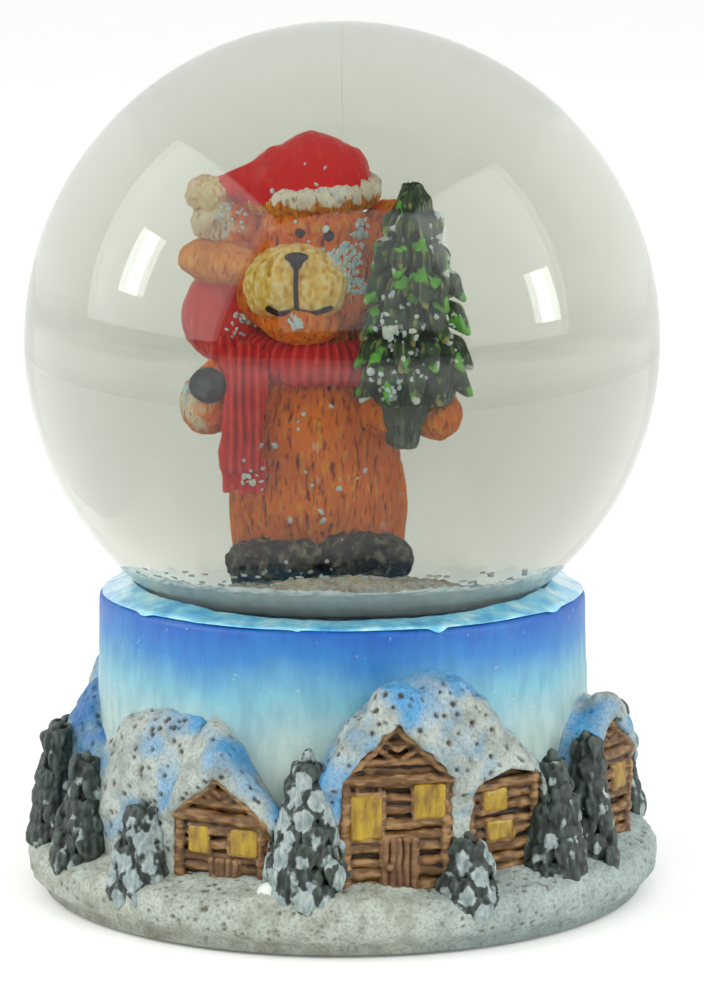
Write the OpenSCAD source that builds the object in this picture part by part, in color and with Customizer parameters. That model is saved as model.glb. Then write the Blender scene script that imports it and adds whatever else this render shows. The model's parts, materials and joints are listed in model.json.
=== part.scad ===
// Souvenir snow globe: a water-filled glass ball with a bear figure,
// standing on a resin base with a winter village in relief.
// Millimetres. The origin is the middle of the underside, +Z is up,
// and the bear looks towards -Y. Bearings are degrees from the front, positive towards +X.

/* [Globe] */
// Outside diameter of the glass ball
ball_d = 65; // [64:0.5:66]
// Wall thickness of the glass
glass_t = 1.8; // [1.6:0.1:2]
// Height of the ball's centre above the table
ball_z = 56.5; // [56:0.5:57]
// Outside diameter of the glass neck
neck_d = 40.8; // [40:0.2:41]
// Height of the neck's open lower end
neck_z = 23.5; // [23:0.5:25]

/* [Base] */
// Diameter of the snowy ground at its widest
ground_d = 66; // [65.5:0.5:67]
// Diameter of the collar at its rim
collar_d = 50.2; // [50:0.1:50.6]
// Height of the collar's rim
rim_z = 30.9; // [30.7:0.1:31.4]
// Thickness of the felt under the base
felt_t = 0.4; // [0.3:0.1:0.8]

/* [Village] */
// Distance of the large cabin's front wall from the axis
cabin_main_r = 29.4; // [29:0.1:29.8]
// Width of the large cabin's front wall
cabin_main_w = 10.6; // [10:0.2:11]
// Width of the small cabins' front walls
cabin_small_w = 9.4; // [9:0.2:9.8]

/* [Figure] */
// How far the figure stands left of the axis
bear_x = -2.1; // [-2.4:0.1:-1.8]
// Radius of the bear's body at the belly
belly_r = 6.9; // [6.5:0.1:7]
// Radius of the bear's head
head_r = 5.9; // [5.6:0.1:6]

/* [Loose snow] */
// How far the stirred flakes can rise
flake_rise = 22; // [10:1:24]
// Number of flakes in each loose group
flake_count = 30; // [12:1:36]

/* [Hidden] */
$fn = 48;

glue_gap = 0.05;                       // a glue line or an assembly gap between two pieces
ball_r = ball_d / 2;
ball_in_r = ball_r - glass_t;
neck_r = neck_d / 2;
neck_in_r = neck_r - glass_t;
flange_t = 1.5;                        // the stopper's flange, under the neck's end
socket_r = neck_r + 0.5;
socket_z = neck_z - flange_t - 0.2;
stopper_top_z = ball_z - sqrt(pow(ball_in_r, 2) - pow(neck_in_r, 2));
collar_r = collar_d / 2;
collar_foot_r = collar_r + 0.8;        // the collar widens a little towards the ground
ground_r = ground_d / 2;
ground_under_z = felt_t;
lip_z = 3.6;                           // height at which the ground is widest
ground_edge_z = 5.6;                   // the ground just inside its rounded lip
ground_back_z = 7.4;                   // the ground where it meets the collar
bed_z = 35.6;                          // top of the snow settled round the mound
mound_r = 12;
mound_z = 38;
flake_in_r = 15.9;                     // the ring of water that the loose flakes keep to
flake_out_r = 20.4;
flake_rest_z = bed_z + 0.4;
flake_size = [1.2, 0.8, 0.3];
channel_top_z = flake_rest_z + flake_rise + 2.4;
far = 60;                              // longer than any piece, for cutting bodies

// ---- shared forms -------------------------------------------------------

// A ring of constant section, from the axis outwards
module ring(inner_r, outer_r, z0, z1) {
    difference() {
        translate([0, 0, z0]) cylinder(r=outer_r, h=z1 - z0, $fn=96);
        translate([0, 0, z0 - 1]) cylinder(r=inner_r, h=z1 - z0 + 2, $fn=96);
    }
}

// The drum of the base, without its socket
module collar_form(gap=0) {
    translate([0, 0, ground_under_z])
        cylinder(r1=collar_foot_r + gap, r2=collar_r + gap, h=rim_z - ground_under_z, $fn=128);
}

// Section of the ground: rounded lip, slope up to the collar
function lip_arc(steps) = [
    for (i = [0:steps]) let (a = -70 + 140 * i / steps)
        [ground_r - 2.2 + 2.2 * cos(a), lip_z + 2.4 * sin(a)]
];

module ground_form() {
    rotate_extrude($fn=128)
        polygon(concat(
            [[0, ground_under_z], [ground_r - 1.6, ground_under_z]],
            lip_arc(8),
            [[ground_r - 4, ground_edge_z + 0.5], [collar_foot_r - 0.6, ground_back_z], [0, ground_back_z]]
        ));
}

// What all the relief stands against: the drum and the ground
module base_form() {
    collar_form(glue_gap);
    ground_form();
}

// Turns the children to a bearing round the base
module at_bearing(bearing) {
    rotate([0, 0, bearing]) children();
}

// An outline in x and z, pushed outwards from the axis to a radius
module pushed_out(outer_r, z0, outline) {
    translate([0, -10, z0]) rotate([90, 0, 0])
        linear_extrude(outer_r - 10) polygon(outline);
}

// ---- cabins: [bearing, front radius, foot height, width, eaves, ridge, turn] -------------

main_cabin = [10.4, cabin_main_r, 5, cabin_main_w, 12.2, 17.6, 0];
left_cabin = [-24.5, 28.8, 3.4, cabin_small_w, 9.4, 13.5, 0];
middle_cabin = [34, 28.4, 4, 8.4, 12, 13, 0];
right_cabin = [71, 28.6, 4, 8.8, 11.4, 15, -18];
main_heap = 2.5;                       // how much the snow right of the large cabin's ridge is heaped up
back_cabins = [
    [150, 29, 4, 11, 10.4, 15.8, 0],
    [-118, 28.8, 4, cabin_small_w, 9.6, 14.4, 0]
];

function wall_outline(c) = [
    [-c[3] / 2, 0], [c[3] / 2, 0], [c[3] / 2, c[4]], [0, c[5]], [-c[3] / 2, c[4]]
];

// Turns the children to a cabin's bearing, and about its own front wall
module at_cabin(c) {
    at_bearing(c[0]) translate([0, -c[1], 0]) rotate([0, 0, c[6]]) translate([0, c[1], 0]) children();
}

// The snow on a roof: thick over the ridge, hanging past both eaves, and heaped up on the right
function snow_outline(c, thick, left_reach, right_reach, heap) = [
    [-c[3] / 2 - left_reach, c[4] - left_reach * 1.3],
    [-c[3] / 2, c[4] - 0.8],
    [0, c[5] - 0.6],
    [c[3] / 2, c[4] - 0.8],
    [c[3] / 2 + right_reach, c[4] - 0.6 - right_reach * 0.15],
    [c[3] / 2 + right_reach, c[4] + thick * 0.9 - right_reach * 0.25 + heap],
    [c[3] / 4 + heap * 2, c[5] + thick * 0.5 + heap * 0.5],
    [0.6, c[5] + thick * 1.25],
    [-c[3] / 4, c[5] + thick * 0.4],
    [-c[3] / 2 - left_reach, c[4] + thick * 0.5 - left_reach * 1.1]
];

module walls_form(c) {
    at_cabin(c) pushed_out(c[1], c[2], wall_outline(c));
}

module cabin_walls(c) {
    difference() {
        walls_form(c);
        base_form();
    }
}

// A roof's snow slopes back towards the drum and overhangs the front wall
module snow_form(c, thick, left_reach, right_reach, heap=0) {
    intersection() {
        at_cabin(c) pushed_out(ground_r, c[2], snow_outline(c, thick, left_reach, right_reach, heap));
        cylinder(r1=c[1] + 3.4, r2=c[1] + 0.2, h=rim_z, $fn=96);
    }
}

module snow_roof(c, thick, left_reach, right_reach, heap=0) {
    difference() {
        snow_form(c, thick, left_reach, right_reach, heap);
        walls_form(c);
        base_form();
    }
}

// A panel on a cabin's front wall: [x, z, width, height]
module wall_panel(c, panel, proud) {
    at_cabin(c)
        translate([panel[0] - panel[2] / 2, -c[1] - proud, c[2] + panel[1]])
            cube([panel[2], proud, panel[3]]);
}

// ---- firs: [bearing, distance, foot height, height, radius] ------------------------------

centre_fir = [-6.5, 28.6, 5.2, 15.4, 3.9];
small_fir = [24.5, 29.6, 3.6, 8.4, 3.2];
right_near_fir = [46, 28.8, 5, 13.6, 3.3];
right_far_fir = [58.5, 28.6, 5, 14.4, 2.8];
left_big_fir = [-42, 29.2, 3.6, 10.2, 3.4];
left_fir = [-61, 29.2, 4.8, 12.4, 3.3];
far_left_fir = [-80, 29.6, 5.4, 12.8, 3.1];
back_firs = [
    [104, 29.2, 5, 13.4, 3.4], [127, 29.2, 5, 9.6, 3.2], [174, 29.4, 5, 12.2, 3.4],
    [-164, 29, 5, 14.4, 3.6], [-141, 29.2, 5, 10, 3.3], [-97, 29.2, 5, 12, 3.2]
];
fir_tiers = 4;
tier_step = 0.18;                      // how much narrower each tier is than the one below

module fir_form(f) {
    tier_h = f[3] / (fir_tiers + 0.6);
    at_bearing(f[0]) translate([0, -f[1], f[2]])
        for (i = [0:fir_tiers - 1])
            translate([0, 0, i * tier_h])
                cylinder(r1=f[4] * (1 - tier_step * i), r2=f[4] * 0.34 * (1 - tier_step * i), h=tier_h * 1.6);
}

// ---- cabins ------------------------------------------------------------------------------

module cabin_main_walls() {
    color("peru") cabin_walls(main_cabin);
}

module cabin_main_snow_roof() {
    color("aliceblue") snow_roof(main_cabin, 2.8, 1.2, 7, main_heap);
}

module cabin_main_windows() {
    color("gold") {
        wall_panel(main_cabin, [-2.95, 6.4, 3.1, 4.3], 0.3);
        wall_panel(main_cabin, [3.25, 8.3, 3, 3.4], 0.3);
    }
}

module cabin_main_door() {
    color("saddlebrown") wall_panel(main_cabin, [0.3, 1.6, 3.5, 4.6], 0.35);
}

module cabin_left_walls() {
    color("peru") cabin_walls(left_cabin);
}

module cabin_left_snow_roof() {
    color("aliceblue") snow_roof(left_cabin, 2.2, 1.4, 1.4);
}

module cabin_left_windows() {
    color("gold") {
        wall_panel(left_cabin, [-2.2, 5.7, 2.1, 2.7], 0.3);
        wall_panel(left_cabin, [2.7, 5.7, 3, 2.7], 0.3);
    }
}

module cabin_left_door() {
    color("saddlebrown") wall_panel(left_cabin, [0.4, 3.1, 3, 2], 0.35);
}

module cabin_middle_walls() {
    color("peru") difference() {
        cabin_walls(middle_cabin);
        main_cabin_space();
    }
}

module cabin_middle_windows() {
    color("gold") {
        wall_panel(middle_cabin, [-1, 9, 2.8, 2.1], 0.3);
        wall_panel(middle_cabin, [-0.4, 6, 3, 2], 0.3);
    }
}

module cabin_right_walls() {
    color("peru") cabin_walls(right_cabin);
}

module cabin_right_snow_roof() {
    color("aliceblue") snow_roof(right_cabin, 2.4, 1.2, 1.6);
}

module cabin_right_windows() {
    color("gold") {
        wall_panel(right_cabin, [-2, 7.4, 2.4, 2.6], 0.3);
        wall_panel(right_cabin, [2.2, 7.4, 2.4, 2.6], 0.3);
    }
}

module cabin_back_walls() {
    color("peru") for (c = back_cabins) cabin_walls(c);
}

module cabin_back_snow_roof() {
    color("aliceblue") for (c = back_cabins) snow_roof(c, 2.3, 1.5, 2);
}

module cabin_back_windows() {
    color("gold") for (c = back_cabins, x = [-3, 3]) wall_panel(c, [x, 6.4, 2.4, 2.6], 0.3);
}

module cabin_back_door() {
    color("saddlebrown") for (c = back_cabins) wall_panel(c, [0, 3.4, 2.8, 3.6], 0.35);
}

// ---- firs and snow banks -----------------------------------------------------------------

// A fir stands clear of the base, of the cabins beside it and of the bank behind it
module fir(f) {
    color("darkslategray") difference() {
        fir_form(f);
        base_form();
        children();
    }
}

module cabin_space(c, thick, left_reach, right_reach, heap=0) {
    walls_form(c);
    snow_form(c, thick, left_reach, right_reach, heap);
}

module main_cabin_space() {
    cabin_space(main_cabin, 2.8, 1.2, 7, main_heap);
}

module left_cabin_space() {
    cabin_space(left_cabin, 2.2, 1.4, 1.4);
}

module right_cabin_space() {
    cabin_space(right_cabin, 2.4, 1.2, 1.6);
}

module back_cabins_space() {
    for (c = back_cabins) cabin_space(c, 2.3, 1.5, 2);
}

// A bank of snow against the drum: [bearing, distance, top height, foot radius, top radius]
left_bank = [-43, 19.4, 21.6, 9.2, 6];
far_left_bank = [-74, 20.4, 22, 8.6, 3];
back_banks = [[118, 20.4, 21, 9, 3.6], [-172, 20.6, 22, 9, 3.2], [-146, 20.4, 19, 8.4, 3.4]];

module bank_form(b) {
    at_bearing(b[0]) translate([0, -b[1], ground_under_z + 1])
        cylinder(r1=b[3], r2=b[4], h=b[2] - ground_under_z - 1, $fn=64);
}

module fir_centre() {
    fir(centre_fir) {
        main_cabin_space();
        left_cabin_space();
    }
}

module fir_small() {
    fir(small_fir) {
        main_cabin_space();
        walls_form(middle_cabin);
    }
}

module fir_right_near() {
    fir(right_near_fir) {
        main_cabin_space();
        cabin_middle_windows();
        walls_form(middle_cabin);
    }
}

module fir_right_far() {
    fir(right_far_fir) right_cabin_space();
}

module fir_left_big() {
    fir(left_big_fir) {
        left_cabin_space();
        bank_form(left_bank);
    }
}

module fir_left() {
    fir(left_fir) {
        bank_form(left_bank);
        bank_form(far_left_bank);
    }
}

module fir_far_left() {
    fir(far_left_fir) bank_form(far_left_bank);
}

module firs_back() {
    for (f = back_firs) fir(f) {
        back_cabins_space();
        right_cabin_space();
        for (b = back_banks) bank_form(b);
    }
}

module snow_hill_left() {
    color("aliceblue") difference() {
        bank_form(left_bank);
        base_form();
        left_cabin_space();
    }
}

module snow_hill_far_left() {
    color("lightskyblue") difference() {
        bank_form(far_left_bank);
        base_form();
        bank_form(left_bank);
    }
}

module snow_hill_back() {
    color("aliceblue") difference() {
        for (b = back_banks) bank_form(b);
        base_form();
        back_cabins_space();
    }
}

module snow_drift() {
    color("white") difference() {
        at_bearing(-12) translate([0, -30.2, 4.6]) sphere(r=2.4);
        base_form();
        fir_form(centre_fir);
        left_cabin_space();
    }
}

// ---- globe and base ----------------------------------------------------------------------

module glass_globe() {
    color("lightcyan", 0.25) difference() {
        union() {
            translate([0, 0, ball_z]) sphere(r=ball_r, $fn=160);
            translate([0, 0, neck_z]) cylinder(r=neck_r, h=ball_z - neck_z, $fn=128);
        }
        translate([0, 0, ball_z]) sphere(r=ball_in_r, $fn=160);
        translate([0, 0, neck_z - 1]) cylinder(r=neck_in_r, h=ball_z - neck_z + 1, $fn=128);
    }
}

module rubber_stopper() {
    color("dimgray") {
        translate([0, 0, neck_z - glue_gap - flange_t]) cylinder(r=neck_r - 0.1, h=flange_t, $fn=96);
        translate([0, 0, neck_z - glue_gap - 0.5])
            cylinder(r=neck_in_r - glue_gap, h=stopper_top_z - neck_z + glue_gap + 0.5, $fn=96);
    }
}

module glue_bead() {
    color("steelblue") difference() {
        rotate_extrude($fn=128)
            polygon([[neck_r + glue_gap, rim_z], [collar_r - 0.35, rim_z], [collar_r - 0.8, rim_z + 0.5],
                     [22.2, rim_z + 1.5], [neck_r + glue_gap, rim_z + 1.5]]);
        translate([0, 0, ball_z]) sphere(r=ball_r + glue_gap, $fn=160);
    }
}

module base_collar() {
    color("cornflowerblue") difference() {
        collar_form();
        translate([0, 0, socket_z]) cylinder(r=socket_r, h=rim_z, $fn=128);
    }
}

module snow_ground() {
    color("whitesmoke") difference() {
        ground_form();
        collar_form(glue_gap);
    }
}

module felt_pad() {
    color("darkgreen") cylinder(r=ground_r - 3.4, h=felt_t, $fn=96);
}

// The room inside the glass, down to the stopper
module inside_form() {
    intersection() {
        translate([0, 0, ball_z]) sphere(r=ball_in_r - glue_gap, $fn=160);
        translate([0, 0, stopper_top_z + glue_gap]) cylinder(r=far, h=far, $fn=96);
    }
}

// A plain shape round the whole figure, which the water keeps out of
module figure_space() {
    translate([0, 0, stopper_top_z]) cylinder(r=14.2, h=73.4 - stopper_top_z, $fn=96);
}

module water_fill() {
    color("lightblue", 0.2) difference() {
        inside_form();
        figure_space();
        translate([0, 0, 30]) cylinder(r=far, h=bed_z + glue_gap - 30, $fn=96);
        ring(flake_in_r - 0.4, flake_out_r + 0.4, bed_z - 1, channel_top_z);
    }
}

module settled_snow() {
    color("white") difference() {
        intersection() {
            inside_form();
            translate([0, 0, 30]) cylinder(r=far, h=bed_z - 30, $fn=96);
        }
        mound_form(glue_gap);
    }
}

module mound_form(gap=0) {
    translate([0, 0, stopper_top_z]) rotate_extrude($fn=96)
        polygon([[0, 0], [mound_r + gap, 0], [mound_r + gap, 1.4], [10.4 + gap, 3.4],
                 [8 + gap, mound_z - stopper_top_z - 0.8 + gap],
                 [5 + gap, mound_z - stopper_top_z + gap], [0, mound_z - stopper_top_z + gap]]);
}

module snow_mound() {
    color("beige") mound_form();
}

// ---- the bear ----------------------------------------------------------------------------

head_at = [bear_x - 0.4, -0.4, 61.4];
boot_r = 3.1;

module body_form() {
    translate([bear_x, 0, 0]) rotate_extrude($fn=64)
        polygon([[0, 39.6], [belly_r - 0.3, 39.6], [belly_r, 44], [belly_r - 0.1, 48],
                 [belly_r - 0.9, 52], [belly_r - 2.4, 55.2], [0, 56.4]]);
}

module head_form() {
    translate(head_at) rotate([0, 0, 90]) sphere(r=head_r);
}

module boots_form() {
    translate([bear_x - 3.7, -3.2, 39]) sphere(r=boot_r);
    translate([bear_x + 4.1, -3.2, 39.6]) sphere(r=boot_r);
    translate([bear_x, 0, mound_z]) cylinder(r=belly_r - 0.6, h=1.6);
}

module right_arm_form() {
    translate([-8.6, -0.8, 54]) rotate([0, 0, 180]) sphere(r=2.4);
    translate([-10.3, -3, 52.6]) rotate([0, 0, 180]) sphere(r=2.5);
}

module left_arm_form() {
    translate([4.6, -0.6, 53.6]) sphere(r=2.6);
    translate([8.2, -3.4, 50.9]) sphere(r=2.4);
    translate([6.4, -2.2, 52]) sphere(r=2.4);
}

module sack_form() {
    translate([-9.3, 0.6, 58]) sphere(r=3.2);
}

module trunk_form() {
    translate([5.3, -6.4, 48.9]) cylinder(r1=1.7, r2=2.2, h=3.6);
}

module held_fir_form() {
    tiers = [[52.4, 5], [56.4, 4.4], [60.4, 3.7], [64, 2.8]];
    for (t = tiers)
        translate([5.6, -6, t[0]]) cylinder(r1=t[1], r2=t[1] * 0.25, h=5.2);
}

module bear_body() {
    color("chocolate") difference() {
        body_form();
        boots_form();
        mound_form();
    }
}

module bear_boots() {
    color("darkslategray") difference() {
        boots_form();
        mound_form();
    }
}

module bear_head() {
    color("chocolate") difference() {
        head_form();
        body_form();
    }
}

module muzzle_form() {
    translate([head_at[0] - 0.8, head_at[1] - 4.4, 60.4]) sphere(r=3.5);
}

module bear_muzzle() {
    color("burlywood") difference() {
        muzzle_form();
        head_form();
        scarf_form();
        held_fir_form();
    }
}

module nose_form() {
    translate([head_at[0] - 1.1, head_at[1] - 7.1, 62.6]) sphere(r=0.9);
}

module bear_nose() {
    color("black") difference() {
        nose_form();
        muzzle_form();
    }
}

module bear_eyes() {
    color("black") difference() {
        for (x = [-1.5, 0.9])
            translate([head_at[0] + x, head_at[1] - 4.75, 64.9]) sphere(r=0.6);
        head_form();
    }
}

module ears_form() {
    translate([-8.3, 0, 65.4]) sphere(r=2.2);
    translate([3.6, 0, 65.2]) sphere(r=2.2);
}

module bear_ears() {
    color("goldenrod") difference() {
        ears_form();
        head_form();
    }
}

module bear_right_arm() {
    color("chocolate") difference() {
        right_arm_form();
        body_form();
        scarf_form();
    }
}

module bear_left_arm() {
    color("chocolate") difference() {
        left_arm_form();
        body_form();
        scarf_form();
        held_fir_form();
        trunk_form();
    }
}

module bear_paw_pad() {
    color("dimgray") difference() {
        translate([-10.8, -4.4, 53.4]) sphere(r=1.7);
        right_arm_form();
        body_form();
    }
}

module trim_form() {
    translate([bear_x, 0, 66.6]) cylinder(r=5.5, h=1.7);
}

module hat_fur_trim() {
    color("white") difference() {
        trim_form();
        head_form();
        ears_form();
        held_fir_form();
    }
}

module santa_hat() {
    color("firebrick") difference() {
        union() {
            translate([bear_x + 0.2, 0, 67.2]) sphere(r=5.1);
            translate([-6, 0, 69.6]) rotate([0, -98, 0]) cylinder(r1=1.8, r2=0.8, h=3.2);
        }
        translate([0, 0, 40]) cylinder(r=far, h=68.3 - 40);
        held_fir_form();
        pompom_form();
    }
}

module pompom_form() {
    translate([-10.3, -0.4, 69]) sphere(r=1.5);
}

module hat_pompom() {
    color("ivory") pompom_form();
}

module scarf_form() {
    translate([bear_x, 0, 0]) rotate_extrude($fn=64)
        polygon([[3.4, 52.9], [6.3, 52.9], [6.7, 54.4], [6.1, 56], [3.4, 56.4]]);
}

module scarf_band() {
    color("crimson") difference() {
        scarf_form();
        body_form();
        head_form();
        held_fir_form();
    }
}

module knot_form() {
    translate([-7.4, -4.6, 54.6]) sphere(r=1.8);
}

module scarf_tail() {
    color("crimson") difference() {
        union() {
            translate([-9, -6.6, 45.4]) cube([3.2, 2.6, 8.4]);
            knot_form();
        }
        body_form();
        right_arm_form();
        scarf_form();
        translate([-10.8, -4.4, 53.4]) sphere(r=1.7);
    }
}

module gift_sack() {
    color("firebrick") difference() {
        sack_form();
        head_form();
        body_form();
        right_arm_form();
        scarf_form();
    }
}

module sack_fur_cuff() {
    color("sandybrown") difference() {
        translate([-9, 0.4, 60.6]) cylinder(r=2.9, h=2.8);
        sack_form();
        head_form();
        muzzle_form();
        ears_form();
    }
}

module held_fir() {
    color("darkgreen") difference() {
        held_fir_form();
        body_form();
        head_form();
        trunk_form();
    }
}

module held_fir_trunk() {
    color("darkslategray") difference() {
        trunk_form();
        body_form();
    }
}

// ---- loose snow --------------------------------------------------------------------------

// A ring of flakes: each turned by its own angle, spread by the golden angle
module flakes(start, lift) {
    color("white") for (i = [0:flake_count - 1]) {
        reach = flake_in_r + 1 + (flake_out_r - flake_in_r - 2) * (i % 3) / 2;
        rotate([0, 0, start + i * 360 / flake_count])
            translate([reach, 0, flake_rest_z + lift]) rotate([0, 0, i * 47])
                cube(flake_size, center=true);
    }
}

module loose_flakes_low() {
    flakes(0, flake_size[2] / 2);
}

module loose_flakes_high() {
    flakes(6, flake_size[2] / 2 + 0.8);
}

glass_globe();
water_fill();
rubber_stopper();
glue_bead();
base_collar();
snow_ground();
felt_pad();
cabin_main_walls();
cabin_main_snow_roof();
cabin_main_windows();
cabin_main_door();
cabin_left_walls();
cabin_left_snow_roof();
cabin_left_windows();
cabin_left_door();
cabin_middle_walls();
cabin_middle_windows();
cabin_right_walls();
cabin_right_snow_roof();
cabin_right_windows();
cabin_back_walls();
cabin_back_snow_roof();
cabin_back_windows();
cabin_back_door();
fir_centre();
fir_small();
fir_right_near();
fir_right_far();
fir_left_big();
fir_left();
fir_far_left();
firs_back();
snow_hill_left();
snow_hill_far_left();
snow_hill_back();
snow_drift();
snow_mound();
settled_snow();
bear_body();
bear_head();
bear_muzzle();
bear_ears();
bear_nose();
bear_eyes();
bear_right_arm();
bear_left_arm();
bear_paw_pad();
bear_boots();
santa_hat();
hat_fur_trim();
hat_pompom();
scarf_band();
scarf_tail();
gift_sack();
sack_fur_cuff();
held_fir();
held_fir_trunk();
loose_flakes_low();
loose_flakes_high();
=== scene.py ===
"""Snow globe with a painted bear, on a resin base with a winter village in relief.

Shapes are worked out in millimetres as distance fields (negative inside), meshed by surface nets,
then given their tool marks by moving vertices. Bearings are degrees from the front, positive towards +X.
"""
import json
import math
from collections import namedtuple

import bpy
import mathutils
import numpy as np
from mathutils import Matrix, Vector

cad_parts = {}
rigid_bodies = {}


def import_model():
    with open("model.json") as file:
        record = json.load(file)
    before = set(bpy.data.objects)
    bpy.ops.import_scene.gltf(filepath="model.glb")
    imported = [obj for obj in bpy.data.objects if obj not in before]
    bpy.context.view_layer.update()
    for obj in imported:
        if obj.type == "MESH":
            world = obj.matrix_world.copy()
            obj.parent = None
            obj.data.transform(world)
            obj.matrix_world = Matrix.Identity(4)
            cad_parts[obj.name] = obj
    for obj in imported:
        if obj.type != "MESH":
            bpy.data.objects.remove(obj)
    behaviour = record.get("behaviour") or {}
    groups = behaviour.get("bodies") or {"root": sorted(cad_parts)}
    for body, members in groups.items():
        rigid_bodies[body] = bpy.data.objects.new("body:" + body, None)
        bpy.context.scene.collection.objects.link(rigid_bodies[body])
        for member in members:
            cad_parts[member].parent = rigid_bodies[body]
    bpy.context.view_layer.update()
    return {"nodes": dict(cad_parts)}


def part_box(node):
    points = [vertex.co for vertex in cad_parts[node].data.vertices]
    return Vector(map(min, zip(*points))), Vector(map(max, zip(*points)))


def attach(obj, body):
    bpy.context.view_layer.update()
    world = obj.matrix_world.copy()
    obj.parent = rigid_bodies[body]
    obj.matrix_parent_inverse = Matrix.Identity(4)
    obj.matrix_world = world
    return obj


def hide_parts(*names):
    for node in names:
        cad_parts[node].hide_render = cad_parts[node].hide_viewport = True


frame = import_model()
MM = 0.001
ROOT = "globe_and_base"


def cad_mm(node):
    """A CAD node's lowest and highest corners, in millimetres."""
    low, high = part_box(node)
    return np.array(low) / MM, np.array(high) / MM


# ---- numbers read from the CAD model, and sizes given with them -----------------------

globe_low, globe_high = cad_mm("glass_globe")
ground_low, ground_high = cad_mm("snow_ground")
BALL_R = 32.5
BALL_Z = globe_high[2] - BALL_R
GLASS_T = 1.8
NECK_R = 20.4
NECK_Z = globe_low[2]
RIM_Z = cad_mm("base_collar")[1][2]
COLLAR_TOP_R = 25.1
COLLAR_FOOT_R = 25.9
GROUND_R = ground_high[0]
BASE_Z = ground_low[2]
STOPPER_Z = cad_mm("rubber_stopper")[1][2]
BED_Z = cad_mm("settled_snow")[1][2]

# ---- noise ----------------------------------------------------------------------------

LATTICE = 32
lattice = np.random.default_rng(7).uniform(-1, 1, (LATTICE,) * 3).astype(np.float32)


def noise(points, size, seed=0):
    """Smooth noise from -1 to 1. points is N by 3, size the grain in mm, one number or one an axis."""
    p = points / np.asarray(size, dtype=np.float32) + seed * 5.37
    cell = np.floor(p).astype(np.int64)
    f = p - cell
    f = f * f * (3 - 2 * f)
    total = 0
    for corner in np.ndindex(2, 2, 2):
        i, j, k = ((cell[:, a] + corner[a]) % LATTICE for a in range(3))
        weight = np.prod([f[:, a] if corner[a] else 1 - f[:, a] for a in range(3)], axis=0)
        total = total + weight * lattice[i, j, k]
    return total


def layered(points, size, octaves=3, seed=0):
    """Noise with finer and fainter layers added."""
    size = np.asarray(size, dtype=np.float32)
    return sum(noise(points, size / 2**o, seed + o) / 2**o for o in range(octaves))


def cell_dots(points, pitch, radius, share=0.7, seed=0):
    """1 in the middle of round dots scattered about one to a pitch, falling to 0 at their radius."""
    cell = np.floor(points / pitch).astype(np.int64)
    best = np.zeros(len(points), dtype=np.float32)
    for step in np.ndindex(3, 3, 3):
        c = cell + np.array(step) - 1
        key = (c[:, 0] * 73856093) ^ (c[:, 1] * 19349663) ^ (c[:, 2] * 83492791) ^ (seed * 2654435761)
        rolls = [((key >> s) * 2246822519 & 0xFFFFF) / 0xFFFFF for s in (0, 3, 7, 11)]
        middle = (c + np.stack(rolls[:3], axis=1)) * pitch
        size = radius * (0.6 + 0.6 * rolls[1])
        near = 1 - np.linalg.norm(points - middle, axis=1) / size
        best = np.maximum(best, np.where(rolls[3] < share, near, 0))
    return best


# ---- distance fields ------------------------------------------------------------------


def blob(p, at, r):
    """A ball, or an ellipsoid where r has three numbers."""
    r = np.broadcast_to(np.asarray(r, dtype=np.float32), 3)
    q = [(p[a] - at[a]) / r[a] for a in range(3)]
    k0 = np.sqrt(q[0] ** 2 + q[1] ** 2 + q[2] ** 2) + 1e-6
    k1 = np.sqrt((q[0] / r[0]) ** 2 + (q[1] / r[1]) ** 2 + (q[2] / r[2]) ** 2) + 1e-6
    return k0 * (k0 - 1) / k1


def rod(p, a, b, ra, rb=None):
    """A round bar from a to b, its radius going from ra to rb."""
    rb = ra if rb is None else rb
    ab = np.subtract(b, a)
    t = sum((p[i] - a[i]) * ab[i] for i in range(3)) / float(ab @ ab)
    t = np.clip(t, 0, 1)
    gap = sum((p[i] - a[i] - t * ab[i]) ** 2 for i in range(3))
    return np.sqrt(gap) - (ra + (rb - ra) * t)


def slab(p, at, half, soft=0.1):
    """A box with rounded edges."""
    q = [np.abs(p[a] - at[a]) - half[a] + soft for a in range(3)]
    out = np.sqrt(sum(np.maximum(v, 0) ** 2 for v in q))
    return out + np.minimum(np.maximum(np.maximum(q[0], q[1]), q[2]), 0) - soft


def join(a, b, k=0.0):
    """Both shapes, with a fillet of about k between them."""
    if k <= 0:
        return np.minimum(a, b)
    h = np.clip(0.5 + 0.5 * (b - a) / k, 0, 1)
    return b * (1 - h) + a * h - k * h * (1 - h)


def without(a, b, k=0.0):
    """The first shape less the second."""
    return -join(-a, b, k)


def turned(p, degrees, at=(0, 0)):
    """The same points seen from a frame turned about the upright line through at."""
    c, s = math.cos(math.radians(degrees)), math.sin(math.radians(degrees))
    x, y = p[0] - at[0], p[1] - at[1]
    return (c * x + s * y + at[0], c * y - s * x + at[1], p[2])


def drum_r(z):
    """Radius of the painted drum at a height."""
    return COLLAR_FOOT_R + (COLLAR_TOP_R - COLLAR_FOOT_R) * np.clip((z - BASE_Z) / (RIM_Z - BASE_Z), 0, 1)


# ---- meshing --------------------------------------------------------------------------

CORNERS = list(np.ndindex(2, 2, 2))
EDGES = [(a, b) for a in CORNERS for b in CORNERS
         if sum(np.subtract(b, a)) == 1 and min(np.subtract(b, a)) == 0]


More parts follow.
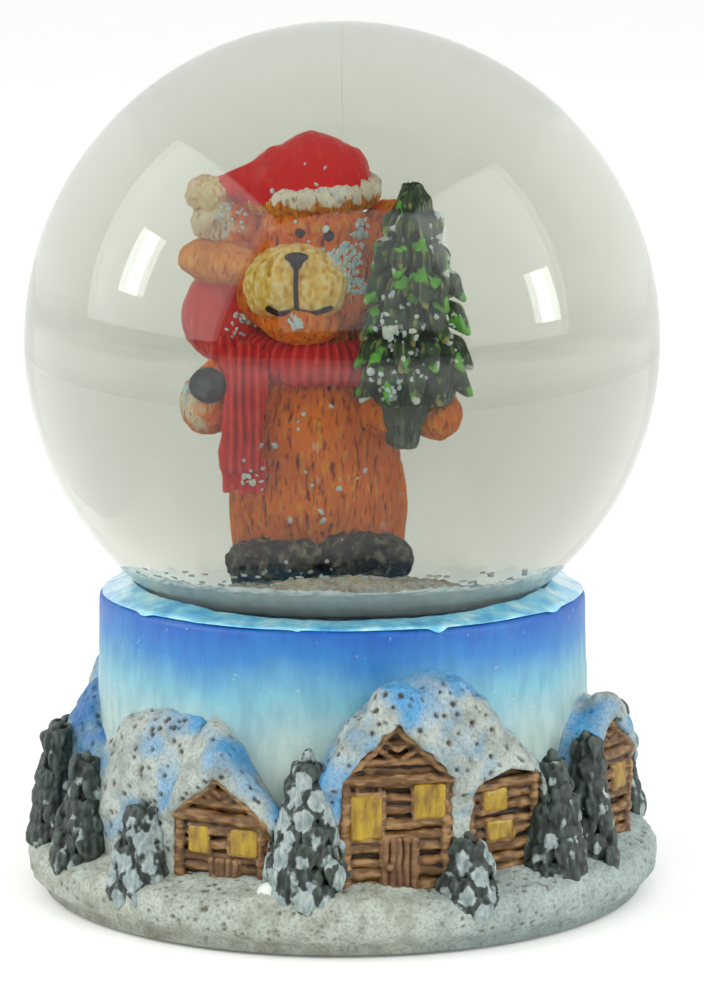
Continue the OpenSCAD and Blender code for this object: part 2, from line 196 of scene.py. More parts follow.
def surface_nets(field, low, step):
    """Vertices and quads of the surface where the field is zero."""
    inside = field < 0
    cells = tuple(n - 1 for n in field.shape)
    full = sum(inside[i:i + cells[0], j:j + cells[1], k:k + cells[2]].astype(np.int8) for i, j, k in CORNERS)
    active = (full > 0) & (full < 8)
    at = np.argwhere(active)
    number = np.full(cells, -1, dtype=np.int64)
    number[active] = np.arange(len(at))
    total = np.zeros((len(at), 3))
    count = np.zeros(len(at))
    for a, b in EDGES:
        fa = field[at[:, 0] + a[0], at[:, 1] + a[1], at[:, 2] + a[2]].astype(np.float64)
        fb = field[at[:, 0] + b[0], at[:, 1] + b[1], at[:, 2] + b[2]].astype(np.float64)
        cross = (fa < 0) != (fb < 0)
        t = np.where(cross, fa / np.where(cross, fa - fb, 1), 0)
        point = np.array(a) + t[:, None] * np.subtract(b, a)
        total += point * cross[:, None]
        count += cross
    verts = (at + total / count[:, None]) * step + np.asarray(low)
    quads = []
    for axis in range(3):
        u, v = (axis + 1) % 3, (axis + 2) % 3
        ahead = np.zeros(3, dtype=int)
        ahead[axis] = 1
        start = [slice(None)] * 3
        start[axis] = slice(0, -1)
        end = [slice(None)] * 3
        end[axis] = slice(1, None)
        changes = inside[tuple(start)] != inside[tuple(end)]
        e = np.argwhere(changes)
        e = e[(e[:, u] > 0) & (e[:, v] > 0) & (e[:, u] < cells[u]) & (e[:, v] < cells[v])]
        ring = []
        for du, dv in ((1, 1), (0, 1), (0, 0), (1, 0)):
            c = e.copy()
            c[:, u] -= du
            c[:, v] -= dv
            ring.append(number[c[:, 0], c[:, 1], c[:, 2]])
        ring = np.stack(ring, axis=1)
        outward = inside[e[:, 0], e[:, 1], e[:, 2]]
        quads.append(np.where(outward[:, None], ring, ring[:, ::-1]))
    return verts, np.concatenate(quads)


def make_mesh(name, verts, faces):
    """A smooth-shaded object from vertices in mm and faces of equal length."""
    mesh = bpy.data.meshes.new(name)
    faces = np.asarray(faces)
    mesh.vertices.add(len(verts))
    mesh.vertices.foreach_set("co", (np.asarray(verts) * MM).astype(np.float32).ravel())
    mesh.loops.add(faces.size)
    mesh.loops.foreach_set("vertex_index", faces.astype(np.int32).ravel())
    mesh.polygons.add(len(faces))
    mesh.polygons.foreach_set("loop_start", np.arange(len(faces), dtype=np.int32) * faces.shape[1])
    mesh.update(calc_edges=True)
    mesh.validate()
    mesh.shade_smooth()
    piece = bpy.data.objects.new(name, mesh)
    bpy.context.scene.collection.objects.link(piece)
    return piece


def points_of(piece):
    """A piece's vertices, in mm."""
    out = np.empty(len(piece.data.vertices) * 3, dtype=np.float32)
    piece.data.vertices.foreach_get("co", out)
    return out.reshape(-1, 3) / MM


def normals_of(piece):
    out = np.empty(len(piece.data.vertices) * 3, dtype=np.float32)
    piece.data.vertices.foreach_get("normal", out)
    return out.reshape(-1, 3)


def set_points(piece, verts):
    piece.data.vertices.foreach_set("co", (verts * MM).astype(np.float32).ravel())
    piece.data.update()


def paint_mask(piece, name, values):
    """Stores one number a vertex, which a material reads as an attribute."""
    layer = piece.data.attributes.new(name, "FLOAT", "POINT")
    layer.data.foreach_set("value", np.clip(values, 0, 1).astype(np.float32))


def swell(piece, amount):
    """Moves each vertex along its normal, by mm."""
    set_points(piece, points_of(piece) + normals_of(piece) * np.asarray(amount)[:, None])


def carve(name, field, low, high, step, bearing=0.0):
    """Meshes a field over a box of its own frame, then turns it to its bearing."""
    step = step * 1
    axes = [np.arange(low[a], high[a] + step, step, dtype=np.float32) for a in range(3)]
    p = np.meshgrid(*axes, indexing="ij", sparse=True)
    values = np.broadcast_to(field(p), [len(a) for a in axes])
    verts, quads = surface_nets(values, low, step)
    c, s = math.cos(math.radians(bearing)), math.sin(math.radians(bearing))
    turn = np.array([[c, -s, 0], [s, c, 0], [0, 0, 1]])
    return make_mesh(name, verts @ turn.T, quads)


def lathe(name, outline, steps):
    """A closed outline of (radius, height) points turned round the axis."""
    outline = np.asarray(outline, dtype=np.float64)
    ahead = np.roll(outline, -1, axis=0)
    if np.sum(outline[:, 0] * ahead[:, 1] - ahead[:, 0] * outline[:, 1]) < 0:
        outline = outline[::-1]
    angle = np.linspace(0, 2 * math.pi, steps, endpoint=False)
    n = len(outline)
    r = outline[:, 0][None, :]
    verts = np.stack([
        r * np.cos(angle)[:, None], r * np.sin(angle)[:, None],
        np.broadcast_to(outline[:, 1], (steps, n))
    ], axis=2).reshape(-1, 3)
    i, j = np.meshgrid(np.arange(steps), np.arange(n), indexing="ij")
    i2, j2 = (i + 1) % steps, (j + 1) % n
    quads = np.stack([i * n + j, i2 * n + j, i2 * n + j2, i * n + j2], axis=2).reshape(-1, 4)
    return make_mesh(name, verts, quads)


def resample(points, step):
    """Points at even spacing along a polyline."""
    points = np.asarray(points, dtype=np.float64)
    length = np.concatenate([[0], np.cumsum(np.linalg.norm(np.diff(points, axis=0), axis=1))])
    n = max(2, int(round(length[-1] / step)) + 1)
    t = np.linspace(0, length[-1], n)
    return np.stack([np.interp(t, length, points[:, a]) for a in range(points.shape[1])], axis=1)


def arc(cx, cy, r, start, end, steps):
    """Points on an arc, angles in degrees."""
    a = np.radians(np.linspace(start, end, steps))
    return np.stack([cx + r * np.cos(a), cy + r * np.sin(a)], axis=1)


# ---- materials ------------------------------------------------------------------------


def rgb(r, g, b):
    """Screen colour 0 to 255 as linear."""
    return tuple(((v / 255 + 0.055) / 1.055) ** 2.4 if v > 10 else v / 255 / 12.92 for v in (r, g, b)) + (1,)


WHITE = (255, 255, 255)


class Shader:
    """A material being built from nodes. Colours are (red, green, blue) as on the screen, 0 to 255."""

    def __init__(self, name, **sockets):
        self.material = bpy.data.materials.new(name)
        self.material.use_nodes = True
        self.tree = self.material.node_tree
        self.surface = self.tree.nodes["Principled BSDF"]
        for socket, value in sockets.items():
            self.set(socket, value)

    def feed(self, socket, source):
        """Links a socket to a source, or gives it a plain value."""
        if isinstance(source, bpy.types.NodeSocket):
            self.tree.links.new(source, socket)
        else:
            socket.default_value = source

    def set(self, socket, source):
        self.feed(self.surface.inputs[socket.replace("_", " ")], source)

    def node(self, kind, links, **settings):
        made = self.tree.nodes.new("ShaderNode" + kind)
        for key, value in settings.items():
            setattr(made, key, value)
        for socket, source in links.items():
            self.feed(made.inputs[socket], source)
        return made

    def place(self):
        return self.node("NewGeometry", {}).outputs["Position"]

    def grain(self, size, detail=3, stretch=(1, 1, 1)):
        """Noise whose grain is size mm, as a factor from 0 to 1."""
        scale = self.node("Mapping", {"Vector": self.place(), "Scale": stretch}).outputs[0]
        settings = {"Vector": scale, "Scale": 1 / (size * MM), "Detail": detail}
        return self.node("TexNoise", settings).outputs["Fac"]

    def mask(self, name):
        return self.node("Attribute", {}, attribute_name=name).outputs["Fac"]

    def math(self, operation, a, b, clamp=False):
        return self.node("Math", {0: a, 1: b}, operation=operation, use_clamp=clamp).outputs[0]

    def speck(self, share, *grain):
        """Noise about zero, which breaks up what it is added to."""
        return self.math("MULTIPLY", self.math("SUBTRACT", self.grain(*grain), 0.5), share)

    def broken(self, level, speck):
        return self.math("ADD", level, speck, clamp=True)

    def ramp(self, factor, *stops):
        """A colour ramp; each stop is (position, red, green, blue)."""
        made = self.node("ValToRGB", {"Fac": factor})
        marks = made.color_ramp.elements
        while len(marks) < len(stops):
            marks.new(0.5)
        for mark, (position, *colour) in zip(marks, stops):
            mark.position, mark.color = position, rgb(*colour)
        return made.outputs["Color"]

    def step(self, factor, low, high, top=1):
        """0 below low, rising to top at high."""
        made = self.node("ValToRGB", {"Fac": factor})
        for mark, position, level in zip(made.color_ramp.elements, (low, high), (0, top)):
            mark.position, mark.color = position, (level, level, level, 1)
        return made.outputs["Color"]

    def mix(self, factor, a, b, mode="MIX"):
        a, b = (rgb(*source) if isinstance(source, tuple) else source for source in (a, b))
        return self.node("Mix", {0: factor, 6: a, 7: b}, data_type="RGBA", blend_type=mode).outputs[2]

    def coat(self, colour, rough, depth, *grain):
        """Colour, roughness as (grain, from, to) and relief, whose depth is in mm. Returns the material."""
        self.set("Base Color", colour)
        if rough:
            limits = {"Value": self.grain(rough[0]), "To Min": rough[1], "To Max": rough[2]}
            self.set("Roughness", self.node("MapRange", limits).outputs[0])
        relief = self.node("Bump", {"Height": self.grain(*grain), "Distance": depth * MM})
        self.set("Normal", relief.outputs[0])
        return self.material


def use(piece, material, node_slot, *nodes, body=ROOT):
    """Gives a piece its material and its body, and hides the CAD nodes that it stands for. node_slot is not
    used.
    """
    piece.data.materials.clear()
    piece.data.materials.append(material)
    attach(piece, body)
    if nodes:
        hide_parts(*nodes)
    return piece


# ---- stage ------------------------------------------------------------------------------

CAMERA_SIDE, CAMERA_BACK, CAMERA_UP = 0.00105, 0.370, 0.097
CAMERA_TILT = 8.76
LENS = 130.7


def make_stage():
    camera = bpy.data.objects.new("camera", bpy.data.cameras.new("camera"))
    camera.location = (CAMERA_SIDE, -CAMERA_BACK, CAMERA_UP)
    camera.rotation_euler = (math.radians(90 - CAMERA_TILT), 0, 0)
    camera.data.lens = LENS
    camera.data.clip_start = 0.01
    bpy.context.scene.collection.objects.link(camera)
    bpy.context.scene.camera = camera

    corners = [(-6, -6, 0), (6, -6, 0), (6, 6, 0), (-6, 6, 0)]
    floor = make_mesh("floor", np.array(corners) / MM, [(0, 1, 2, 3)])
    paper = Shader("floor_paper", Roughness=0.9, Emission_Color=(1, 1, 1, 1))

    def away_from(point, near, far, low, high):
        gap = paper.node("VectorMath", {0: paper.place(), 1: point}, operation="DISTANCE").outputs["Value"]
        limits = {"Value": gap, "From Min": near, "From Max": far, "To Min": low, "To Max": high}
        return paper.node("MapRange", limits).outputs[0]

    # lit from below beyond the reach of the lamps, and darker in front, where the base mirrors it
    paper.set("Emission Strength", away_from((0, 0, 0), 0.1, 1.2, 0.05, 0.36))
    white = paper.ramp(paper.grain(40), (0.3, 238, 238, 236), (0.7, 243, 243, 241))
    paper.set("Base Color", paper.mix(away_from((0, -0.26, 0), 0.1, 0.2, 0, 1), (176, 176, 174), white))
    floor.data.materials.append(paper.material)

    def softbox(name, side, up, away, size, radiance, mirrored=True):
        """A panel of light: degrees to the side of the camera and above the horizon, metres away."""
        data = bpy.data.lights.new(name, "AREA")
        data.shape, data.size, data.size_y = "RECTANGLE", size[0], size[1]
        data.energy = radiance * math.pi * size[0] * size[1]
        lamp = bpy.data.objects.new(name, data)
        a, e = math.radians(side), math.radians(up)
        out = np.array([math.sin(a) * math.cos(e), -math.cos(a) * math.cos(e), math.sin(e)])
        lamp.location = out * away + [0, 0, 0.05]
        lamp.rotation_euler = mathutils.Vector(-out).to_track_quat("-Z", "Y").to_euler()
        lamp.visible_glossy = mirrored
        bpy.context.scene.collection.objects.link(lamp)

    softbox("left_window", -74, 30, 0.85, (1.0, 0.8), 2.0)
    softbox("left_lamp", -84, 22, 0.8, (0.13, 0.24), 9)
    softbox("right_window", 66, 28, 0.85, (0.7, 0.8), 2.0)
    softbox("right_lamp", 79, 14, 0.8, (0.12, 0.2), 11)
    softbox("front_fill", 8, 32, 1.0, (1.2, 0.8), 2.4, False)
    world = bpy.data.worlds.new("studio")
    world.use_nodes = True
    nodes, links = world.node_tree.nodes, world.node_tree.links
    nodes["Background"].inputs["Color"].default_value = (0.96, 0.97, 0.96, 1)
    axes = nodes.new("ShaderNodeSeparateXYZ")
    links.new(nodes.new("ShaderNodeTexCoord").outputs["Generated"], axes.inputs[0])
    fade = nodes.new("ShaderNodeMapRange")                 # brighter behind the globe than in front
    for socket, value in {"From Min": -0.4, "From Max": 0.5, "To Min": 0.36, "To Max": 1.08}.items():
        fade.inputs[socket].default_value = value
    links.new(axes.outputs["Y"], fade.inputs["Value"])
    links.new(fade.outputs[0], nodes["Background"].inputs["Strength"])
    bpy.context.scene.world = world
    bpy.context.scene.view_settings.view_transform = "Standard"
    bpy.context.scene.cycles.use_denoising = True
    bounces = bpy.context.scene.cycles
    bounces.transmission_bounces = bounces.glossy_bounces = 20
    bounces.diffuse_bounces = 8
    bounces.max_bounces = 28


# ---- globe ------------------------------------------------------------------------------


def ball_outline(r, neck_r, bottom_z, step=0.5):
    """Down the ball from its top to its neck, then down the neck."""
    meet = math.degrees(math.asin(neck_r / r))
    round_part = arc(0, BALL_Z, r, 90, -90 + meet, int(math.radians(180 - meet) * r / step))
    return np.concatenate([round_part, [(neck_r, bottom_z)]])


def clear_lathe(name, outline):
    outline[:, 0] = np.maximum(outline[:, 0], 0.01)
    return lathe(name, outline, 256)


def make_globe():
    outer = ball_outline(BALL_R, NECK_R, NECK_Z)
    inner = ball_outline(BALL_R - GLASS_T, NECK_R - GLASS_T, NECK_Z)
    glass = clear_lathe("clear_globe", np.concatenate([outer, inner[::-1]]))
    # The liquid overlaps the glass, so inner faces would mirror as if each met air. These tints lower that
    # until the whole wall mirrors like a real one.
    coat = Shader("globe_glass", Roughness=0.0, IOR=1.47, Transmission_Weight=1.0,
                  Base_Color=(0.985, 0.99, 0.985, 1), Specular_Tint=(0.55, 0.55, 0.55, 1))
    use(glass, coat.material, "globe_glass", "glass_globe")

    overlap = 0.04                    # the liquid wets the glass: no film of air between them
    wet_r = BALL_R - GLASS_T + overlap
    wet_neck = NECK_R - GLASS_T + overlap
    foot_z = BALL_Z - math.sqrt(wet_r**2 - wet_neck**2) - 0.2
    bottom = resample([(wet_neck, foot_z), (0.01, foot_z)], 1.5)[1:]
    water = clear_lathe("clear_liquid", np.concatenate([ball_outline(wet_r, wet_neck, foot_z), bottom]))
    liquid = Shader("liquid", Roughness=0.0, IOR=1.333, Transmission_Weight=1.0, Base_Color=(1, 1, 1, 1),
                    Specular_Tint=(0.03, 0.03, 0.03, 1))
    # The absorption greys what is seen through the liquid: a faint tint of the liquid itself, made deeper as
    # painted shade for the greyer surroundings seen through the ball.
    tint_and_shade = liquid.node("VolumeAbsorption", {"Color": (0.58, 0.6, 0.52, 1), "Density": 34.0})
    liquid.feed(liquid.tree.nodes["Material Output"].inputs["Volume"], tint_and_shade.outputs[0])
    use(water, liquid.material, "water", "water_fill")


# ---- base -------------------------------------------------------------------------------


def polar(p):
    """Bearing from the front in radians, and radius, of each point."""
    return np.arctan2(p[:, 0], -p[:, 1]), np.hypot(p[:, 0], p[:, 1])


def dots(p, *pattern):
    return np.clip(cell_dots(p, *pattern), 0, 1)


def make_collar():
    inner_r = NECK_R + 0.5
    floor_z = NECK_Z - 1.7
    soft = 0.7                        # rounded upper edge
    side = resample([(COLLAR_FOOT_R, BASE_Z), (COLLAR_TOP_R, RIM_Z - soft)], 0.35)
    edge = arc(COLLAR_TOP_R - soft, RIM_Z - soft, soft, 0, 90, 6)[1:]
    top = resample([(COLLAR_TOP_R - soft, RIM_Z), (inner_r, RIM_Z)], 0.5)[1:]
    socket = [(inner_r, floor_z), (0.02, floor_z), (0.02, BASE_Z)]
    drum = lathe("painted_drum", np.concatenate([side, edge, top, socket]), 720)
    p = points_of(drum)
    lumps = 0.12 * layered(p, 9, 3, 3) + 0.035 * noise(p, 1.6, 5)
    nicks = 0.09 * cell_dots(p, 2.6, 0.35, 0.25, 4)
    swell(drum, np.where(polar(p)[1] > inner_r + 0.1, lumps - nicks, 0))
    paint = Shader("airbrushed_drum", Roughness=0.5)
    height = paint.node("SeparateXYZ", {"Vector": paint.place()}).outputs["Z"]
    level = paint.node("MapRange", {"Value": height, "From Min": 0.014, "From Max": 0.0325}).outputs[0]
    base = paint.ramp(
        paint.broken(level, paint.speck(0.3, 9, 4)), (0.0, 175, 190, 180), (0.28, 157, 180, 175),
        (0.52, 106, 162, 177), (0.74, 34, 112, 173), (0.92, 4, 80, 162), (1.0, 27, 103, 163)
    )
    base = paint.mix(paint.step(paint.grain(0.9, 2), 0.7, 0.8, 0.4), base, (205, 222, 232))
    streak = paint.ramp(paint.grain(1.1, 4, (1, 1, 0.3)), (0.35, 212, 220, 228), (0.62, *WHITE))
    body = paint.mix(0.6, base, streak, "MULTIPLY")
    use(drum, paint.coat(body, (2.2, 0.36, 0.58), 0.05, 0.45, 4), "collar_paint", "base_collar")


def snow_paint(name, pit_colour, light, shade, blue):
    """White casting paint: pits hold dark wash, and blue lies where the mask says, as overspray and, along the
    upper edges of the heaps, as painted shade too.
    """
    paint = Shader(name, Roughness=0.62)
    body = paint.ramp(paint.grain(2.4, 5), (0.32, *shade), (0.6, *light))
    body = paint.mix(paint.mask("blue"), body, blue)
    fine = paint.ramp(paint.grain(0.32, 3), (0.3, 184, 186, 176), (0.55, *WHITE))
    body = paint.mix(paint.mask("pit"), paint.mix(0.7, body, fine, "MULTIPLY"), pit_colour)
    return paint.coat(body, (1.0, 0.45, 0.72), 0.09, 0.3, 4)


def make_ground():
    lip = arc(GROUND_R - 2.3, 3.6, 2.3, -72, 60, 20)
    under = [(COLLAR_FOOT_R - 1.5, BASE_Z), (GROUND_R - 1.9, BASE_Z)]
    slope = [lip[-1], (29.4, 6.6), (COLLAR_FOOT_R - 1.2, 7.8)]
    outline = np.concatenate([
        resample(under, 0.8), resample(lip, 0.17), resample(slope, 0.17)[1:],
        [(COLLAR_FOOT_R - 1.5, 7.0)]
    ])
    ground = lathe("snowy_ground", outline, 1000)
    p = points_of(ground)
    bearing, r = polar(p)
    cos, sin = np.cos(bearing), np.sin(bearing)
    edge = np.clip((p[:, 2] - BASE_Z) / 1.5, 0, 1)
    around = np.stack([cos * 12, sin * 12, np.zeros_like(bearing)], axis=1)
    rolls = 0.7 * noise(around, 5.5, 9) + 0.5 * noise(around, 2.6, 12)
    p[:, 2] += rolls * np.clip((p[:, 2] - 1.6) / 3, 0, 1)
    wander = 0.45 * noise(np.stack([cos * 9, sin * 9, p[:, 2] * 0.3], axis=1), 3.2, 21)
    p[:, :2] *= (1 + (np.minimum(wander, 0.15) - 0.2) * edge / np.maximum(r, 1))[:, None]
    set_points(ground, p)
    smooth_path = np.exp(-((bearing - math.radians(9)) / math.radians(6.5)) ** 2)
    pits = dots(p, 0.78, 0.3, 0.72, 1) * (1 - 0.9 * smooth_path) * edge
    grit = 0.09 * layered(p, 0.7, 3, 31) + 0.12 * noise(p, 2.2, 33)
    swell(ground, (grit - 0.22 * np.sqrt(pits)) * edge)
    paint_mask(ground, "pit", pits * 2.4 * (0.55 + 0.45 * noise(p, 5, 40)))
    cool = np.clip(0.5 + 0.9 * np.sin(bearing - 0.2) + 0.5 * noise(p, 6, 41), 0, 1)
    paint_mask(ground, "blue", 0.5 * cool)
    paint = snow_paint("snow_ground_paint", (77, 67, 48), (162, 169, 158), (132, 136, 122), (127, 151, 158))
    use(ground, paint, "ground_snow", "snow_ground")


# drips of sealant over the edge of the rim: (bearing, mm, degrees wide)
DRIPS = [(22, 0.5, 2.2), (-10, 0.22, 1.4), (58, 0.3, 3.0), (-52, 0.25, 3), (150, 0.4, 2.4), (-130, 0.35, 3)]


def make_glue():
    """A flat bead of sealant on the rim that climbs the ball a little at the sides."""
    r0, r1 = NECK_R + 0.05, COLLAR_TOP_R - 0.3
    ball_r = BALL_R + 0.02
    top_z = RIM_Z + 1.4
    top_r = math.sqrt(BALL_R**2 - (BALL_Z - top_z) ** 2)
    low = math.degrees(math.acos(r0 / BALL_R))
    high = math.degrees(math.acos(top_r / BALL_R))
    wall = arc(0, BALL_Z, ball_r, -high, -low, 14)
    rim = RIM_Z - 0.05
    face = resample([(r0, rim), (r1 - 0.4, rim), (r1, rim + 0.12), (r1 - 0.4, rim + 0.35), wall[0]], 0.14)
    bead = lathe("sealant_bead", np.concatenate([face, wall[1:]]), 720)
    p = points_of(bead)
    bearing, r = polar(p)
    bearing = np.degrees(bearing)
    around = np.stack([np.sin(np.radians(bearing)) * 25, np.cos(np.radians(bearing)) * 25, r * 0], axis=1)
    sides = 0.5 - 0.5 * np.cos(2 * np.radians(bearing))
    lift = np.clip((p[:, 2] - rim) / 0.3, 0, 1) * np.clip((r - 20.6) / 0.5, 0, 1)
    p[:, 2] -= (1 - sides) * np.clip(p[:, 2] - rim - 0.3, 0, 2) * 0.75
    p[:, 2] += 0.16 * layered(around, 3.2, 3, 50) * lift
    drip = 0.1 * layered(around, 5, 3, 51)
    drip = drip + sum(size * np.exp(-((bearing - at) / wide) ** 2) for at, size, wide in DRIPS)
    drip = np.clip(drip, -0.1, 1) * np.clip((r - 23.6) / 1.0, 0, 1)
    p[:, :2] *= (1 + drip / r)[:, None]
    p[:, 2] -= np.clip(drip - 0.1, 0, 1) * 1.6 * np.clip((r - 24.4) / 0.5, 0, 1)
    centre = np.array([0, 0, BALL_Z])
    touch = np.linalg.norm(p - centre, axis=1)
    inside = touch < ball_r           # nothing reaches into the ball
    p[inside] = (p[inside] - centre) * (ball_r / touch[inside])[:, None] + centre
    set_points(bead, p)
    glue = Shader("tinted_sealant", Roughness=0.16, Coat_Weight=0.6, Coat_Roughness=0.06)
    tint = glue.ramp(glue.grain(2.6, 4), (0.3, 68, 152, 200), (0.5, 112, 190, 218), (0.68, 172, 218, 222))
    body = glue.mix(glue.step(glue.grain(0.8, 2), 0.7, 0.75), tint, (206, 212, 196))
    use(bead, glue.coat(body, None, 0.12, 0.9, 3), "glue", "glue_bead")


def make_hidden_parts():
    """The stopper and the felt keep their CAD shapes, with their own materials."""
    rubber = Shader("stopper_rubber", Roughness=0.75)
    grey = rubber.ramp(rubber.grain(1.5, 4), (0.3, 70, 72, 72), (0.7, 96, 98, 97))
    felt = Shader("green_felt", Roughness=0.95, Sheen_Weight=0.5)
    green = felt.ramp(felt.grain(0.5, 5), (0.3, 22, 50, 34), (0.7, 44, 84, 58))
    for node, material in (("rubber_stopper", rubber.coat(grey, None, 0.03, 0.3)),
                           ("felt_pad", felt.coat(green, None, 0.12, 0.25, 5))):
        piece = frame["nodes"][node]
        piece.data.materials.clear()
        piece.data.materials.append(material)


# ---- relief: shared tools ---------------------------------------------------------------


def standing_out(piece, passes):
    """How far each vertex stands out of its surroundings, in mm: below 0 in a hollow."""
    p = points_of(piece).astype(np.float64)
    n = len(p)
    edges = np.empty(len(piece.data.edges) * 2, dtype=np.int32)
    piece.data.edges.foreach_get("vertices", edges)
    a, b = edges.reshape(-1, 2).T
    count = np.maximum(np.bincount(a, minlength=n) + np.bincount(b, minlength=n), 1)
    smooth = p.copy()
    for _ in range(passes):
        total = [np.bincount(a, smooth[b, k], n) + np.bincount(b, smooth[a, k], n) for k in range(3)]
        smooth = np.stack(total, axis=1) / count[:, None]
    return np.sum((p - smooth) * normals_of(piece), axis=1)


def wobble(piece, amount, size, seed=0):
    """Makes straight lines look cut by hand."""
    p = points_of(piece)
    shift = np.stack([noise(p, size, seed + k) for k in range(3)], axis=1)
    set_points(piece, p + amount * shift)


def paint_wash(piece, passes, depth, name="wash"):
    """0 in hollows, where dark wash gathers, to 1 on edges that a dry brush would touch."""
    paint_mask(piece, name, 0.5 + standing_out(piece, passes) / depth)


# ---- cabins -----------------------------------------------------------------------------

Cabin = namedtuple("Cabin", "name bearing front foot width eaves ridge turn windows door")
# windows and door: (middle x, bottom above foot, width, height)
CABINS = [
    Cabin("main", 10.4, 29.4, 5.0, 10.6, 12.2, 17.6, 0, [(-2.95, 6.4, 3.1, 4.3), (3.25, 8.3, 3.0, 3.4)],
          (0.3, 1.0, 3.5, 5.2)),
    Cabin("left", -24.5, 28.8, 3.4, 9.4, 9.4, 13.5, 0, [(-2.2, 5.7, 2.1, 2.7), (2.7, 5.7, 3.0, 2.7)],
          (0.4, 1.6, 3.0, 3.5)),
    Cabin("middle", 34.0, 28.4, 4.0, 8.4, 12.0, 13.0, 0, [(-1.0, 9.0, 2.8, 2.1), (-0.4, 6.0, 3.0, 2.0)],
          None),
    Cabin("right", 71.0, 28.6, 4.0, 8.8, 11.4, 15.0, -18, [(-2.0, 7.4, 2.4, 2.6), (2.2, 7.4, 2.4, 2.6)],
          None),
    Cabin("back_1", 150.0, 29.0, 4.0, 11.0, 10.4, 15.8, 0, [(-3.0, 6.4, 2.4, 2.6), (3.0, 6.4, 2.4, 2.6)],
          (0.0, 2.4, 2.8, 4.6)),
    Cabin("back_2", -118.0, 28.8, 4.0, 9.4, 9.6, 14.4, 0, [(-3.0, 6.4, 2.4, 2.6), (3.0, 6.4, 2.4, 2.6)],
          (0.0, 2.4, 2.8, 4.6)),
]
LOG_PITCH = 1.25
WALL_BACK = 24.0                      # the walls run into the drum


def cabin_frame(p, c):
    """Points seen from a cabin's own frame: x along its front, -y outward."""
    return turned(p, c.turn, (0, -c.front)) if c.turn else p


def gable(p, c, grow=0.0):
    """Distance to the outline of a cabin's end wall, in x and z."""
    slope = math.atan2(c.ridge - c.eaves, c.width / 2)
    side = np.abs(p[0]) - c.width / 2 - grow
    roof = np.abs(p[0]) * math.sin(slope) + (p[2] - c.foot - c.ridge) * math.cos(slope) - grow
    return np.maximum(side, roof)


def logs(p, c, shape):
    """Round logs laid across the wall, each a little different."""
    rise = (c.ridge - c.eaves) / (c.width / 2)
    y = -c.front + 0.62
    for i, z in enumerate(np.arange(0.4, c.ridge - 0.8, LOG_PITCH)):
        half = min(c.width / 2, (c.ridge - z) / rise - 0.3)
        drift = 0.24 * math.sin(i * 2.4 + c.bearing)
        split = half * math.sin(i * 5.1 + c.bearing)
        thick = 0.57 + 0.09 * math.sin(i * 3.7)
        middle = (split, y - 0.12 * math.sin(i * 4.3), c.foot + z + drift)
        shape = join(shape, rod(p, (-half, y + 0.1, c.foot + z), middle, thick, 0.5), 0.05)
        end = (half, y + drift * 0.5, c.foot + z + drift * 0.4)
        shape = join(shape, rod(p, middle, end, 0.6, thick), 0.05)
    return shape


def frame_round(p, box, y, shape, thick=0.34):
    """Four rough boards round an opening (middle x, bottom, width, height)."""
    x, z, w, h = box
    left, right, low, high = x - w / 2, x + w / 2, z, z + h
    for a, b in (((left, low), (left, high)), ((right, low), (right, high)),
                 ((left, low), (right, low)), ((left, high), (right, high))):
        shape = join(shape, rod(p, (a[0], y, a[1]), (b[0], y, b[1]), thick), 0.08)
    return shape


def gable_beams(p, c, shape):
    """Header, collar beam, rafters and the crossed struts of a gable."""
    half, e, top = c.width / 2, c.foot + c.eaves, c.foot + c.ridge
    y = -c.front + 0.2
    third = (c.ridge - c.eaves) / 3
    beams = [
        ((-half - 0.1, e), (half + 0.1, e - 0.1), 0.62),
        ((-half * 0.72, e + third), (half * 0.66, e + third * 0.95), 0.42),
        ((-half, e + 0.1), (-0.1, top - 0.3), 0.5),
        ((half, e + 0.1), (0.1, top - 0.3), 0.5),
        ((-half * 0.42, e + third * 1.9), (0.1, e + third * 0.9), 0.36),
        ((half * 0.46, e + third * 1.8), (0.1, e + third * 0.9), 0.36),
        ((-half * 0.2, e + third * 2.1), (0.15, e + third * 1.6), 0.26),
        ((half * 0.24, e + third * 2.0), (0.15, e + third * 1.6), 0.26),
    ]
    for a, b, r in beams:
        shape = join(shape, rod(p, (a[0], y, a[1]), (b[0], y, b[1]), r), 0.06)
    return shape


def walls_field(p, c):
    p = cabin_frame(p, c)
    front = -c.front
    face = front + 0.75
    wall = np.maximum(np.maximum(gable(p, c), face - p[1]), p[1] + WALL_BACK)
    wall = logs(p, c, wall)
    e = c.foot + c.eaves
    half = c.width / 2
    for x in (-half + 0.35, half - 0.35):
        wall = join(wall, rod(p, (x, front + 0.42, c.foot), (x, front + 0.42, e), 0.6), 0.06)
    if c.ridge - c.eaves > 2:
        wall = gable_beams(p, c, wall)
    for x, z, w, h in c.windows + ([c.door] if c.door else []):
        hole = slab(p, (x, front, c.foot + z + h / 2), (w / 2, 0.85, h / 2), 0.1)
        wall = without(wall, hole, 0.05)
        wall = frame_round(p, (x, c.foot + z, w, h), front + 0.38, wall)
    if c.name == "main":
        x, z, w, h = c.windows[0]
        wall = frame_round(p, (x + 0.15, c.foot + z + h + 0.15, w * 0.72, 1.1), front + 0.3, wall, 0.28)
    rise = (c.ridge - c.eaves) / half
    for x in (-half, half):
        for z in np.arange(0.8, c.eaves, LOG_PITCH * 2):
            wall = join(wall, blob(p, (x, front + 0.9, c.foot + z), (0.55, 0.6, 0.5)), 0.15)
    return wall


